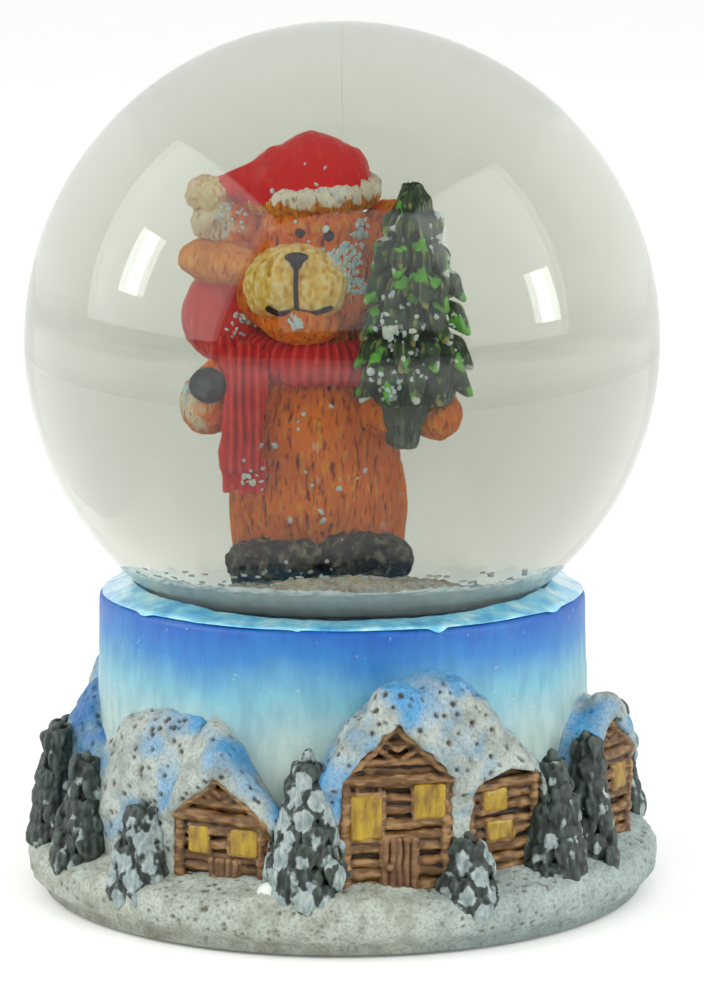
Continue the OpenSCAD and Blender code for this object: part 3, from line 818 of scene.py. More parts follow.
def wood_paint(name, dark, middle, light):
    """Brown paint over a dark wash, dry-brushed on its edges."""
    paint = Shader(name, Roughness=0.55)
    level = paint.broken(paint.mask("wash"), paint.speck(0.5, 0.9, 4, (0.35, 1, 1.6)))
    body = paint.ramp(level, (0.22, *dark), (0.44, *middle), (0.6, *middle), (0.82, *light))
    patch = paint.ramp(paint.grain(3.0, 3), (0.4, 216, 196, 184), (0.62, *WHITE))
    return paint.coat(paint.mix(0.8, body, patch, "MULTIPLY"), (0.8, 0.4, 0.68), 0.07, 0.28, 4, (0.4, 1, 1.4))


def make_walls(c, node):
    side = c.width / 2 + (3.1 if c.turn else 1.6)
    low = (-side, -c.front - (3.4 if c.turn else 1.0), c.foot - 1.2)
    high = (side, -c.front + 5.6, c.foot + c.ridge + 0.9)
    piece = carve(node, lambda p: walls_field(p, c), low, high, 0.15, c.bearing)
    wobble(piece, 0.16, 2.6, 3)
    wobble(piece, 0.07, 0.8, 9)
    swell(piece, 0.1 * layered(points_of(piece), (1.3, 1.3, 0.35), 2, 61))
    paint_wash(piece, 14, 0.36)
    return piece


def panel_field(p, c, panel, proud, soft):
    p = cabin_frame(p, c)
    x, z, w, h = panel
    return slab(p, (x, -c.front + 0.35, c.foot + z + h / 2), (w / 2 + 0.1, 0.35 + proud, h / 2 + 0.1), soft)


def panes_field(p, c):
    shape = panel_field(p, c, c.windows[0], 0.12, 0.42)
    for panel in c.windows[1:]:
        shape = join(shape, panel_field(p, c, panel, 0.12, 0.42))
    return shape


def planks_field(p, c, count=5):
    """Upright planks of a door, with its round handle."""
    q = cabin_frame(p, c)
    x, z, w, h = c.door
    shape = panel_field(p, c, (x, z, w - 0.3, h), -0.15, 0.1)
    y = -c.front + 0.12
    for i in range(count):
        at = x + (i + 0.5 - count / 2) * w / count
        lean = 0.12 * math.sin(i * 2.1)
        shape = join(shape, rod(q, (at, y, c.foot + z), (at + lean, y, c.foot + z + h), 0.36), 0.05)
    return join(shape, blob(q, (x - w * 0.28, -c.front - 0.15, c.foot + z + h * 0.5), 0.42), 0.05)


def carve_on(c, field):
    """Meshes what is set in a cabin's front wall."""
    side = c.width / 2 + (1.5 if c.turn else 1)
    out, back = (3.2, 3.2) if c.turn else (1.2, 1.8)
    low, high = (-side, -c.front - out, c.foot - 0.5), (side, -c.front + back, c.foot + c.eaves + 2)
    return carve("panel", lambda p: field(p, c), low, high, 0.13, c.bearing)


def joined(name, pieces):
    """Several meshes made one object, their masks kept."""
    with bpy.context.temp_override(active_object=pieces[0], selected_editable_objects=pieces):
        bpy.ops.object.join()
    pieces[0].name = name
    return pieces[0]


def make_pane(c):
    pane = carve_on(c, panes_field)
    wobble(pane, 0.1, 1.1, 5)
    swell(pane, 0.06 * layered(points_of(pane), (0.6, 0.6, 2.0), 2, 71))
    paint_wash(pane, 10, 0.3)
    return pane


def make_door(c):
    door = carve_on(c, planks_field)
    wobble(door, 0.09, 1.5, 6)
    paint_wash(door, 10, 0.32)
    return door


def make_cabins():
    log = wood_paint("log_paint", (29, 17, 7), (91, 64, 29), (139, 108, 67))
    plank = wood_paint("door_paint", (28, 15, 7), (88, 60, 31), (129, 98, 65))
    glow = Shader("window_yellow", Roughness=0.35, Coat_Weight=0.25, Coat_Roughness=0.2)
    streaks = glow.grain(1.2, 4, (1.6, 1, 0.6))
    tint = glow.ramp(streaks, (0.3, 102, 72, 0), (0.5, 139, 110, 0), (0.7, 160, 133, 3))
    edge = glow.ramp(glow.mask("wash"), (0.2, 150, 100, 30), (0.42, *WHITE))
    yellow = glow.coat(glow.mix(0.8, tint, edge, "MULTIPLY"), None, 0.09, 0.5, 3, (2, 1, 0.5))
    for group in ("main", "left", "middle", "right", "back"):
        name = f"cabin_{group}"
        cabins = [c for c in CABINS if c.name.split("_")[0] == group]
        walls = joined(f"{name}_log_walls", [make_walls(c, f"{name}_log_walls") for c in cabins])
        use(walls, log, "log_wood", f"{name}_walls")
        panes = [make_pane(c) for c in cabins]
        use(joined(f"{name}_panes", panes), yellow, "window_yellow", f"{name}_windows")
        doors = [make_door(c) for c in cabins if c.door]
        if doors:
            use(joined(f"{name}_plank_door", doors), plank, "door_wood", f"{name}_door")


# ---- snow on roofs and banks --------------------------------------------------------------


def heap_field(p, middle, tops, bulge, fall):
    """Snow lying against the drum: tops are (bearing, height) pairs, bulge is how far it stands out."""
    around = np.degrees(np.arctan2(p[0], -p[1])) + middle
    r = np.sqrt(p[0] ** 2 + p[1] ** 2)
    top = np.interp(around, *zip(*tops))
    t = np.clip((top - p[2]) / fall, 0, 1)
    out = drum_r(p[2]) - 0.8 + bulge * np.sqrt(t * (2 - t))
    return np.maximum((r - out) * 0.55, 24.2 - r)


def roof_rolls(p, c, left, right, shape, thick=(1.2, 1.9)):
    """Thick snow along both slopes of a gable, overhanging the front wall. left and right: past the eaves."""
    p = cabin_frame(p, c)
    e, top = c.foot + c.eaves, c.foot + c.ridge
    half, y = c.width / 2, -c.front + 0.55
    rise = (c.ridge - c.eaves) / half
    low, high = thick
    apex = (0.0, y, top + high * 0.75)
    for side, reach in ((-1, left), (1, right)):
        eave = (side * (half + reach), y + 0.3, e - rise * reach * 0.8 + low * 0.75)
        shape = join(shape, rod(p, eave, apex, low, high), 1.4)
    return shape


def clear_walls(p, c, shape, grow=0.15):
    """Keeps the snow off a cabin's front wall."""
    q = cabin_frame(p, c)
    room = np.maximum(gable(q, c, grow), q[1] - (-c.front + 2.0))
    return without(shape, room, 0.25)


# (bearing, height) along the upper edge of each heap
MAIN_TOPS = [
    (-9, 2), (-7, 15.0), (-3.5, 19.0), (1, 22.6), (7, 24.8), (14, 26.2), (20, 27.2), (26, 26.6), (30, 25.0),
    (34, 22.4), (38, 20.6), (42, 19.0), (45, 17.0), (47.5, 13.5), (50, 2)
]
LEFT_ROOF_TOPS = [
    (-36, 12), (-33, 20.6), (-29, 21.9), (-26, 21.2), (-22, 19.3), (-17, 15.8), (-13.5, 13.0), (-11, 2)
]
RIGHT_TOPS = [
    (52, 2), (56, 15.0), (61, 18.5), (67, 20.2), (73, 20.9), (80, 20.6), (87, 18.6), (94, 15), (100, 2)
]
BACK_ROOFS = [
    [(130, 2), (134, 16), (142, 20.5), (150, 22.6), (157, 21.2), (164, 17.5), (168, 2)],
    [(-136, 2), (-132, 15.5), (-125, 19.4), (-118, 21.2), (-111, 19.2), (-104, 15.2), (-100, 2)],
]
LEFT_TOPS = [
    (-68, 2), (-66, 14.5), (-62, 18.3), (-55, 20.8), (-48, 21.8), (-43, 22.3), (-37, 21.9), (-32, 21.8),
    (-28, 19), (-24, 12), (-20, 2)
]
FAR_LEFT_TOPS = [
    (-104, 2), (-100, 15), (-94, 20.0), (-87, 22.0), (-80, 20.8), (-73, 17.5), (-66, 16.5), (-60, 12),
    (-56, 2)
]
BACK_BANKS = [
    [(102, 2), (107, 15), (112, 19.4), (119, 21.2), (126, 19.0), (132, 14), (138, 2)],
    [(168, 2), (173, 15.5), (179, 19.6), (187, 22.2), (195, 20.4), (203, 16.5), (207, 2)],
    [(200, 2), (206, 15), (213, 18.6), (219, 17), (226, 12), (230, 2)],
]


def make_heap(name, tops, finish, spread, step, pits, spray_and_shade, fall, bulge, seed):
    """Snow under its tops, pitted by air bubbles in the casting, and blue along its upper edge, partly overspray
    and partly painted shade.
    """
    middle = (tops[0][0] + tops[-1][0]) / 2
    reach = spread * math.sin(math.radians((tops[-1][0] - tops[0][0]) / 2)) + 1.5
    low = (-reach, -31.6, 5.0)
    high = (reach, -20.5 if reach < 14 else -15.0, max(z for _, z in tops) + 0.6 + 0.8)

    def field(p):
        return finish(p, middle, heap_field(p, middle, tops, bulge, fall))

    piece = carve(name, field, low, high, step, middle)
    p = points_of(piece)
    swell(piece, 0.34 * layered(p, 2.4, 2, seed) + 0.12 * noise(p, 0.8, seed + 3))
    p = points_of(piece)
    bubbles = dots(p, *pits, seed)
    swell(piece, -0.34 * np.sqrt(bubbles))
    paint_mask(piece, "pit", 2.2 * bubbles)
    bearing = np.degrees(polar(p)[0])
    bearing = np.where(bearing < tops[0][0] - 40, bearing + 360, bearing)
    depth = np.maximum(np.interp(bearing, *zip(*tops)) - p[:, 2], 0)
    # blue strongest along the upper edge: overspray, and painted shade there as well
    base, share, down, grain = spray_and_shade
    paint_mask(piece, "blue", base + share * np.exp(-depth / down) + 0.85 * layered(p, grain, 3, seed + 5))
    return piece


def make_roof(name, c, tops, reaches, thick, fall, bulge, seed, blue=0.0, also=()):
    def finish(p, middle, shape):
        q = turned(p, c.bearing - middle)
        shape = clear_walls(q, c, roof_rolls(q, c, *reaches, shape, thick))
        for other in also:
            shape = clear_walls(turned(p, other.bearing - middle), other, shape)
        return shape

    pits, spray_and_shade = (1.0, 0.34, 0.62), (blue - 0.12, 0.75, 2.2, 3.4)
    return make_heap(name, tops, finish, 27, 0.17, pits, spray_and_shade, fall, bulge, seed)


def make_bank(name, tops, step, fall, bulge, seed, blue=0.0, clear=()):
    def finish(p, middle, shape):
        for c in clear:
            shape = clear_walls(turned(p, c.bearing - middle), c, shape)
        return shape

    pits, spray_and_shade = (0.95, 0.34, 0.72), (blue - 0.15, 0.8, 1.6, 3.0)
    return make_heap(name, tops, finish, 28, step, pits, spray_and_shade, fall, bulge, seed)


def make_snow():
    snow = snow_paint("pitted_snow", (57, 52, 40), (158, 167, 160), (126, 134, 127), (70, 136, 180))
    sky = snow_paint("blue_bank_paint", (39, 72, 97), (111, 137, 144), (70, 118, 148), (35, 99, 155))
    main, left, middle, right, *behind = CABINS
    roof = make_roof("main_roof_snow", main, MAIN_TOPS, (0.9, 1.6), (1.25, 2.1), 4.2, 4.9, 11, 0.05, [middle])
    use(roof, snow, "roof_snow", "cabin_main_snow_roof")
    roof = make_roof("left_roof_snow", left, LEFT_ROOF_TOPS, (1.2, 1.0), (1.0, 1.5), 4.6, 4.2, 23)
    use(roof, snow, "roof_snow", "cabin_left_snow_roof")
    roof = make_roof("right_roof_snow", right, RIGHT_TOPS, (0.8, 1.0), (1.0, 1.5), 5.0, 4.4, 35, 0.2)
    use(roof, snow, "roof_snow", "cabin_right_snow_roof")
    roofs = [make_roof(f"back_roof_{i}", c, tops, (1.2, 1.4), (1.1, 1.8), 4.6, 4.4, 41 + i)
             for i, (c, tops) in enumerate(zip(behind, BACK_ROOFS))]
    use(joined("back_roof_snow", roofs), snow, "roof_snow", "cabin_back_snow_roof")
    bank = make_bank("left_snow_bank", LEFT_TOPS, 0.17, 10, 4.4, 51, 0.0, [left])
    use(bank, snow, "bank_snow", "snow_hill_left")
    bank = make_bank("far_left_snow_bank", FAR_LEFT_TOPS, 0.17, 12, 4.6, 57, 0.35)
    use(bank, sky, "bank_blue", "snow_hill_far_left")
    banks = [make_bank(f"bank_{i}", tops, 0.2, 9, 4.4, 63 + i) for i, tops in enumerate(BACK_BANKS)]
    use(joined("back_snow_banks", banks), snow, "bank_snow", "snow_hill_back")


def make_drift():
    """The smooth heap of snow left of the main cabin."""
    def field(p):
        shape = blob(p, (-0.3, -30.1, 5.2), (2.1, 1.5, 2.0))
        return join(shape, blob(p, (0.9, -30.5, 4.4), (2.4, 1.5, 1.5)), 0.8)

    piece = carve("smooth_snow_drift", field, (-4, -33.2, 2), (5, -27.5, 8.5), 0.16, -12)
    swell(piece, 0.12 * layered(points_of(piece), 1.6, 3, 81))
    paint = Shader("drift_paint", Roughness=0.5)
    white = paint.ramp(paint.grain(1.3, 4), (0.3, 176, 186, 176), (0.65, 208, 216, 206))
    use(piece, paint.coat(white, (0.8, 0.4, 0.62), 0.06, 0.5), "drift_white", "snow_drift")


# ---- firs on the base ----------------------------------------------------------------------

Fir = namedtuple("Fir", "node bearing distance foot height radius snowy")
FIRS = [
    Fir("fir_centre", -6.5, 28.6, 5.2, 15.4, 3.9, 0.95), Fir("fir_small", 24.5, 29.6, 3.6, 8.4, 3.2, 0.85),
    Fir("fir_right_near", 46, 28.8, 5, 13.6, 3.3, 0.5), Fir("fir_right_far", 58.5, 28.6, 5, 14.4, 2.8, 0.4),
    Fir("fir_left_big", -42, 29.2, 3.6, 10.2, 3.4, 0.9), Fir("fir_left", -61, 29.2, 4.8, 12.4, 3.3, 0.45),
    Fir("fir_far_left", -80, 29.6, 5.4, 12.8, 3.1, 0.3),
    Fir("firs_back", 104, 29.2, 5, 13.4, 3.4, 0.7), Fir("firs_back", 127, 29.2, 5, 9.6, 3.2, 0.8),
    Fir("firs_back", 174, 29.4, 5, 12.2, 3.4, 0.7), Fir("firs_back", -164, 29, 5, 14.4, 3.6, 0.8),
    Fir("firs_back", -141, 29.2, 5, 10, 3.3, 0.8), Fir("firs_back", -97, 29.2, 5, 12, 3.2, 0.6),
]
SCALE_TALL = 2.1                      # height of one scale of snow-laden boughs


def fir_scales(f):
    """(middle, size, tip) of each scale, low rows first."""
    rows = max(4, int(round(f.height / SCALE_TALL)))
    found = []
    for i in range(rows):
        t = i / rows
        r = f.radius * (1 - 0.8 * t ** 1.15)
        count = max(4, int(round(2 * math.pi * r / 2.35)))
        z = f.foot + 0.9 + t * (f.height - 1.8)
        for j in range(count):
            roll = math.sin(f.bearing * 1.7 + i * 12.9 + j * 78.2) * 43758.5453
            roll -= math.floor(roll)
            a = 2 * math.pi * (j + 0.5 * (i % 2) + 0.3 * (roll - 0.5)) / count
            out = r * (0.86 + 0.16 * roll)
            at = (out * math.sin(a), -f.distance - out * math.cos(a), z + 0.5 * (roll - 0.5))
            size = 0.86 + 0.32 * roll
            found.append((at, size, a))
    return found


def span(marks):
    """The slice from the first true mark to the last."""
    found = np.flatnonzero(marks)
    return slice(found[0], found[-1] + 1)


def fir_field(p, f):
    low, high = f.foot + f.radius * 0.4, f.foot + f.height - 0.9
    shape = rod(p, (0, -f.distance, low), (0, -f.distance, high), f.radius * 0.78, 0.55)
    for at, size, a in fir_scales(f):
        near = [np.abs(p[k] - at[k]) < 2.4 for k in range(3)]
        if not all(m.any() for m in near):
            continue
        part = tuple(span(m.ravel()) for m in near)
        x, y, z = p[0][part[0]] - at[0], p[1][:, part[1]] - at[1], p[2][:, :, part[2]] - at[2]
        c, s = math.cos(a), math.sin(a)
        side, out = c * x + s * y, s * x - c * y
        lean = z + 0.55 * out
        narrow = 1.28 + 0.3 * np.clip(lean, -1.4, 1)
        scale = blob((side / narrow, out, lean), (0, 0, 0), (size, 0.62 * size, 1.5 * size))
        shape[part] = np.minimum(shape[part], scale)
    back = p[1] + f.distance - 0.4 * f.radius
    return np.maximum(shape, back * 0.8) if f.node != "fir_centre" else shape


def make_fir(f):
    reach = f.radius + 1.6
    low = (-reach, -f.distance - reach, f.foot - 0.9)
    high = (reach, -f.distance + reach, f.foot + f.height + 0.8)
    step = 0.19 if f.node == "firs_back" else 0.155
    piece = carve(f.node, lambda p: fir_field(p, f), low, high, step, f.bearing)
    p = points_of(piece)
    local = np.stack(turned(p.T, f.bearing), axis=1)
    snow = np.zeros(len(p), dtype=np.float32)
    for at, size, turn in fir_scales(f):
        tip = np.add(at, (0.5 * math.sin(turn), -0.5 * math.cos(turn), -0.25))
        gap = (local - tip) / (np.array([1.0, 1.0, 1.15]) * size)
        snow = np.maximum(snow, 1.25 - np.sum(gap ** 2, axis=1))
    swell(piece, 0.2 * layered(p, (0.6, 0.6, 1.8), 2, 91) + 0.08 * noise(p, 0.5, 95))
    stand = standing_out(piece, 10)
    patch = 0.55 * layered(p, 1.9, 2, 97)
    paint_mask(piece, "snow", snow * 0.8 + stand * 2.4 + 1.3 * patch + f.snowy * 1.5 - 1.35)
    paint_wash(piece, 8, 0.5)
    return piece


def make_firs():
    paint = Shader("fir_paint", Roughness=0.6)
    needle = paint.ramp(paint.mask("wash"), (0.25, 10, 15, 13), (0.5, 29, 39, 35), (0.85, 72, 84, 77))
    lumps = paint.grain(0.7, 4, (1.4, 1.4, 0.6))
    frost = paint.ramp(lumps, (0.3, 98, 115, 115), (0.52, 133, 147, 146), (0.7, 158, 168, 163))
    edge = paint.step(paint.broken(paint.mask("snow"), paint.speck(0.7, 0.4, 3)), 0.38, 0.62)
    green = paint.coat(paint.mix(edge, needle, frost), (0.6, 0.42, 0.7), 0.08, 0.3, 4, (1.6, 1.6, 0.5))
    for f in FIRS:
        if f.node != "firs_back":
            piece = make_fir(f)
            piece.name = f.node + "_boughs"
            use(piece, green, "fir_paint", f.node)
    back = [make_fir(f) for f in FIRS if f.node == "firs_back"]
    use(joined("back_firs_boughs", back), green, "fir_paint", "firs_back")


# ---- the bear -------------------------------------------------------------------------------

BEAR_X = -1.85                        # the figure stands a little left of the axis
FINE = 0.15                           # mesh step on the figure
WET_IOR = 1.13                        # of paint against the liquid, where 1 is no gloss at all


def forms(p, *parts):
    """Joins forms in turn: (fillet, middle, radii) is a blob and (fillet, a, b, ra, rb) a rod."""
    shape = None
    for fillet, *part in parts:
        made = blob(p, *part) if len(part) == 2 else rod(p, *part)
        shape = made if shape is None else join(shape, made, fillet)
    return shape


def stroked(piece, deep, size, seed, fine=0.04):
    """Short upright strokes combed into the fur."""
    p = points_of(piece)
    bend = 0.5 * noise(p, 3.0, seed + 9)
    groove = layered(p + np.stack([bend, bend, 0 * bend], axis=1), size, 2, seed)
    swell(piece, deep * np.clip(groove, -1, 0.35) + fine * noise(p, 0.4, seed + 4))


def furry(name, field, low, high, strokes, wash=(9, 0.3), step=FINE):
    """A piece of the figure with combed fur, washed dark in its strokes."""
    piece = carve(name, field, low, high, step)
    stroked(piece, *strokes)
    paint_wash(piece, *wash)
    return piece


def fur_paint(name, dark, middle, light, tip=None):
    """Paint over combed fur: dark in the strokes, lighter on the hairs between them."""
    paint = Shader(name, Roughness=0.46, IOR=WET_IOR)
    speck = paint.speck(0.7, 0.5, 4, (1.6, 1.6, 0.4))
    level = paint.broken(paint.mask("wash"), speck)
    body = paint.ramp(level, (0.08, *dark), (0.34, *middle), (0.6, *middle), (0.9, *light))
    if tip:
        dust = paint.broken(paint.mask("tip"), paint.math("MULTIPLY", speck, 0.8))
        body = paint.mix(paint.step(dust, 0.4, 0.62), body, tip)
    patch = paint.ramp(paint.grain(3.2, 2), (0.38, 224, 206, 196), (0.62, *WHITE))
    body = paint.mix(0.75, body, patch, "MULTIPLY")
    hairs = (0.3, 2, (1.15, 1.15, 0.2))
    stroke = paint.ramp(paint.grain(*hairs), (0.34, *dark), (0.43, *WHITE))
    return paint.coat(paint.mix(0.6, body, stroke, "MULTIPLY"), (0.7, 0.34, 0.58), 0.08, *hairs)


def slate_paint(name, dark, middle, light):
    paint = Shader(name, Roughness=0.4, IOR=WET_IOR)
    level = paint.math("ADD", paint.grain(0.8, 4), paint.math("MULTIPLY", paint.grain(3.0, 2), 0.3))
    body = paint.ramp(level, (0.4, *dark), (0.65, *middle), (0.9, *light))
    return paint.coat(body, (0.8, 0.3, 0.55), 0.06, 0.3, 4)


def cloth_paint(name, dark, middle, light):
    """Glossy enamel over carved cloth."""
    paint = Shader(name, Roughness=0.3, IOR=1.24)
    level = paint.broken(paint.mask("wash"), paint.speck(0.6, 1.4, 4, (1.5, 1.5, 0.7)))
    body = paint.ramp(level, (0.1, *dark), (0.42, *middle), (0.62, *middle), (0.95, *light))
    return paint.coat(body, (0.9, 0.26, 0.46), 0.05, 0.4, 4, (1.5, 1.5, 0.6))


def near_line(p, line, width):
    """1 on a line drawn in x and z, falling to 0 at a distance."""
    best = np.full(len(p), 1e3, dtype=np.float32)
    for (ax, az), (bx, bz) in zip(line, line[1:]):
        dx, dz = bx - ax, bz - az
        t = np.clip(((p[:, 0] - ax) * dx + (p[:, 2] - az) * dz) / (dx * dx + dz * dz), 0, 1)
        best = np.minimum(best, np.hypot(p[:, 0] - ax - t * dx, p[:, 2] - az - t * dz))
    return np.clip(1.2 - best / width, 0, 1)


def body_field(p):
    x = BEAR_X
    legs = [(1.6, (x + s * 3.1, -0.3, 38), (x + s * 2.9, -0.2, 45), 3.4, 3.3) for s in (-1, 1)]
    shape = forms(p, (0, (x, 0.2, 44.2), (x - 0.1, 0.2, 50.2), 6.4, 5.9), *legs,
                  (1.5, (x, 0.4, 50), (x - 0.2, 0.2, 56), 5.6, 4.4))
    shape = without(shape, rod(p, (x, -7.6, 38), (x, -7.3, 43.6), 0.75, 0.2), 1.1)
    return np.maximum(shape, 38.6 - p[2])


def head_field(p):
    x = BEAR_X
    skull = forms(p, (0, (x - 0.3, 0, 62.2), (5.5, 5.5, 5.8)), (0.8, (x - 0.3, -2.6, 66.2), (4.2, 2.9, 1.8)),
                  (1.2, (x - 1.3, -4.3, 58.7), (3.3, 3.0, 2.1)))
    cheek = (2.2, 2.6, 2.6)
    return join(skull, forms(p, (0, (x - 4.2, -2.4, 60.6), cheek), (0.5, (x + 2.9, -2.4, 60.6), cheek)), 1.2)


def muzzle_field(p):
    x = BEAR_X
    jowls = [(0.5, (x - 1.85 + s * 1.65, -5.5, 61.4), (2.5, 2.6, 2.6)) for s in (-1, 1)]
    shape = forms(p, (0, (x - 1.8, -4.6, 61.8), (3.9, 3.0, 3.0)), *jowls,
                  (0.8, (x - 1.8, -6.2, 63.7), (1.9, 1.7, 1.0)))
    return without(shape, rod(p, (x - 1.85, -8.5, 63.4), (x - 1.8, -8.1, 59.6), 0.3), 0.25)


def ears_field(p):
    left = forms(p, (0, (-8.2, 0.1, 65.6), (2.5, 1.5, 2.1)), (0.7, (-9.9, -0.3, 65.9), (2.0, 1.4, 1.6)))
    left = without(left, blob(p, (-8.5, -1.9, 65.7), (1.5, 0.9, 1.1)), 0.5)
    right = blob(p, (3.6, 0.2, 65.3), (2.2, 1.4, 2.2))
    right = without(right, blob(p, (3.8, -1.6, 65.5), (1.2, 0.8, 1.2)), 0.5)
    return np.minimum(left, right)


def right_arm_field(p):
    return forms(p, (0, (-6.8, -0.4, 54.6), (-10.1, -2.6, 52.3), 2.5, 2.4),
                 (0.8, (-10.7, -3.3, 51.6), (2.0, 2.1, 2.1)))


def left_arm_field(p):
    return forms(p, (0, (3.2, -0.4, 54), (7.4, -3.0, 51.2), 2.6, 2.0),
                 (0.8, (7.5, -4.6, 50.7), (1.8, 1.7, 1.6)),
                 (0.8, (3.0, -4.4, 51.2), (4.6, -5.4, 50.2), 1.7, 1.2))


def boots_field(p):
    x = BEAR_X
    toes = [(-5.4, -0.4), (-3.2, 0.4), (-1.2, 0.5), (1.4, 0.9), (3.6, 1.1), (5.6, 0.4)]
    shape = forms(p, (0, (x - 3.7, -2.3, 39.2), (3.6, 4.6, 2.2)),
                  (1.2, (x + 3.7, -2.3, 39.5), (3.7, 4.6, 2.4)),
                  *[(0.4, (x + side, -5.3, 39.2 + up), (1.5, 1.5, 1.5)) for side, up in toes],
                  (0.8, (x - 3.2, 2.4, 38.8), (x + 3.2, 2.4, 38.8), 3.2, 3.2))
    return np.maximum(shape, 37.7 - p[2])


def make_fur():
    fur = fur_paint("bear_fur", (136, 52, 0), (252, 126, 2), (253, 168, 30), (244, 232, 200))
    pieces = {
        "bear_body": (body_field, (-9.4, -7.4, 37.8), (5.6, 7.8, 60.8)),
        "bear_head": (head_field, (-9.2, -8.2, 55.2), (4.8, 6.6, 68.4)),
        "bear_ears": (ears_field, (-12.6, -2.6, 62.6), (6.6, 2.8, 68.6)),
        "bear_right_arm": (right_arm_field, (-13.4, -6.2, 48.8), (-3.6, 2.8, 57.8)),
        "bear_left_arm": (left_arm_field, (-0.4, -7.4, 48.0), (11.0, 3.2, 57.6)),
    }
    for node, (field, low, high) in pieces.items():
        deep = 0.3 if node == "bear_body" else 0.2
        piece = furry(node + "_fur", field, low, high, (deep, (0.42, 0.42, 1.7), 100 + len(node)))
        p = points_of(piece)
        dust = {"bear_ears": 0.62 - 0.3 * (p[:, 0] + 9), "bear_right_arm": 0.32 + 0.2 * (-10.6 - p[:, 0])}
        paint_mask(piece, "tip", dust.get(node, 0.02) + 0.5 * noise(p, 1.3, 7))
        use(piece, fur, "bear_fur", node)


def make_muzzle():
    x = BEAR_X
    snout = carve("bear_muzzle_fur", muzzle_field, (x - 6.4, -9, 57.8), (x + 2.8, -0.6, 65.8), 0.13)
    stroked(snout, 0.22, (0.5, 0.5, 1.0), 131, 0.07)
    p = points_of(snout)
    paint_wash(snout, 9, 0.3)
    mouth = [(x - 4.1, 59.9), (x - 3.3, 59.45), (x - 1.85, 59.6), (x - 0.6, 59.4), (x + 0.9, 59.9)]
    lip = [(x - 1.85, 63.4), (x - 1.9, 61.6), (x - 1.8, 59.7)]
    paint_mask(snout, "line", np.maximum(near_line(p, mouth, 0.34), near_line(p, lip, 0.26)) * (p[:, 1] < -4))
    paint_mask(snout, "low", (60.1 - p[:, 2]) / 1.1 + 0.3 * noise(p, 1.2, 3))
    cream = Shader("muzzle_paint", Roughness=0.45, IOR=WET_IOR)
    level = cream.broken(cream.mask("wash"), cream.speck(0.6, 0.6, 4))
    tone = cream.ramp(level, (0.1, 190, 126, 34), (0.42, 238, 190, 80), (0.62, 248, 212, 118),
                      (0.9, 253, 238, 192))
    tone = cream.mix(cream.mask("low"), tone, (236, 136, 22))
    tone = cream.mix(cream.step(cream.mask("line"), 0.25, 0.55), tone, (40, 28, 22))
    use(snout, cream.coat(tone, (0.7, 0.34, 0.56), 0.05, 0.26, 4), "muzzle_cream", "bear_muzzle")


def make_dark_parts():
    x = BEAR_X
    gloss = Shader("black_gloss_paint", Roughness=0.22, IOR=1.3)
    tone = gloss.ramp(gloss.grain(0.5, 3), (0.3, 22, 17, 15), (0.7, 44, 34, 30))
    black = gloss.coat(tone, None, 0.03, 0.5, 2)

    def nose(p):
        return forms(p, (0, (x - 1.85, -7.75, 64.15), (1.0, 0.62, 0.42)),
                     (0.3, (x - 1.85, -7.95, 63.7), (0.5, 0.5, 0.55)))

    def eyes(p):
        left = blob(p, (x - 1.5, -5.3, 65.75), (0.42, 0.4, 0.42))
        return np.minimum(left, blob(p, (x + 0.8, -5.2, 65.5), (0.45, 0.4, 0.45)))

    def paw(p):
        return blob(p, (-10.7, -5.1, 53.5), (1.5, 1.0, 1.5))

    tip = carve("bear_nose_paint", nose, (x - 3.2, -8.8, 62.6), (x - 0.5, -6.8, 65), 0.08)
    use(tip, black, "bear_black", "bear_nose")
    pair = carve("bear_eyes_paint", eyes, (x - 2.6, -6, 64.6), (x + 1.8, -4.5, 66.6), 0.08)
    use(pair, black, "bear_black", "bear_eyes")
    pad = carve("bear_paw_pad_paint", paw, (-12.6, -6.6, 51.6), (-8.8, -3.6, 55.4), 0.12)
    swell(pad, 0.1 * layered(points_of(pad), 0.9, 3, 137))
    slate = slate_paint("paw_pad_paint", (34, 38, 42), (62, 68, 72), (96, 102, 106))
    use(pad, slate, "pad_grey", "bear_paw_pad")
    strokes = (0.34, (0.55, 0.55, 1.2), 141, 0.08)
    shoes = furry("bear_boots_fur", boots_field, (x - 7.6, -8, 36.2), (x + 7.8, 6.4, 42.6), strokes)
    leather = slate_paint("boot_paint", (16, 16, 18), (60, 56, 50), (168, 156, 132))
    use(shoes, leather, "boot_slate", "bear_boots")


# ---- clothes, sack and carried fir ------------------------------------------------------------


def cloth(name, field, low, high, folds, wash, step=FINE):
    """A carved piece of cloth; folds(p) is how far it stands out at each point."""
    piece = carve(name, field, low, high, step)
    swell(piece, folds(points_of(piece)))
    paint_wash(piece, *wash)
    return piece


def hat_field(p):
    x = BEAR_X
    shape = forms(p, (0, (x - 0.2, 0, 67.6), (4.5, 4.7, 4.5)), (1.2, (x + 0.8, 0, 70.2), (2.5, 3.0, 2.0)),
                  (1.6, (x - 1.0, -0.2, 69.6), (-9.6, -0.4, 68.7), 3.0, 0.75),
                  (0.6, (x - 3.4, -2.2, 68.8), (2.1, 2.0, 2.1)))
    return np.maximum(shape, 67.6 - p[2])


def trim_field(p):
    x = BEAR_X
    r = np.sqrt((p[0] - x + 0.45) ** 2 + (p[1] / 1.03) ** 2)
    height = 68.1 + 0.04 * (p[0] - x)
    return np.sqrt((r - 4.3) ** 2 + ((p[2] - height) / 1.1) ** 2) - 1.05


def neck_band_field(p):
    side, out = p[0] - BEAR_X, p[1] + 0.3
    r = np.sqrt(side ** 2 + (out * 1.02) ** 2)
    front = np.clip(-out / 6, 0, 1)
    middle = 56.1 - 1.1 * front - 0.02 * side * side * front
    return np.sqrt((r - 5.1) ** 2 + ((p[2] - middle) / 1.15) ** 2) - 1.45


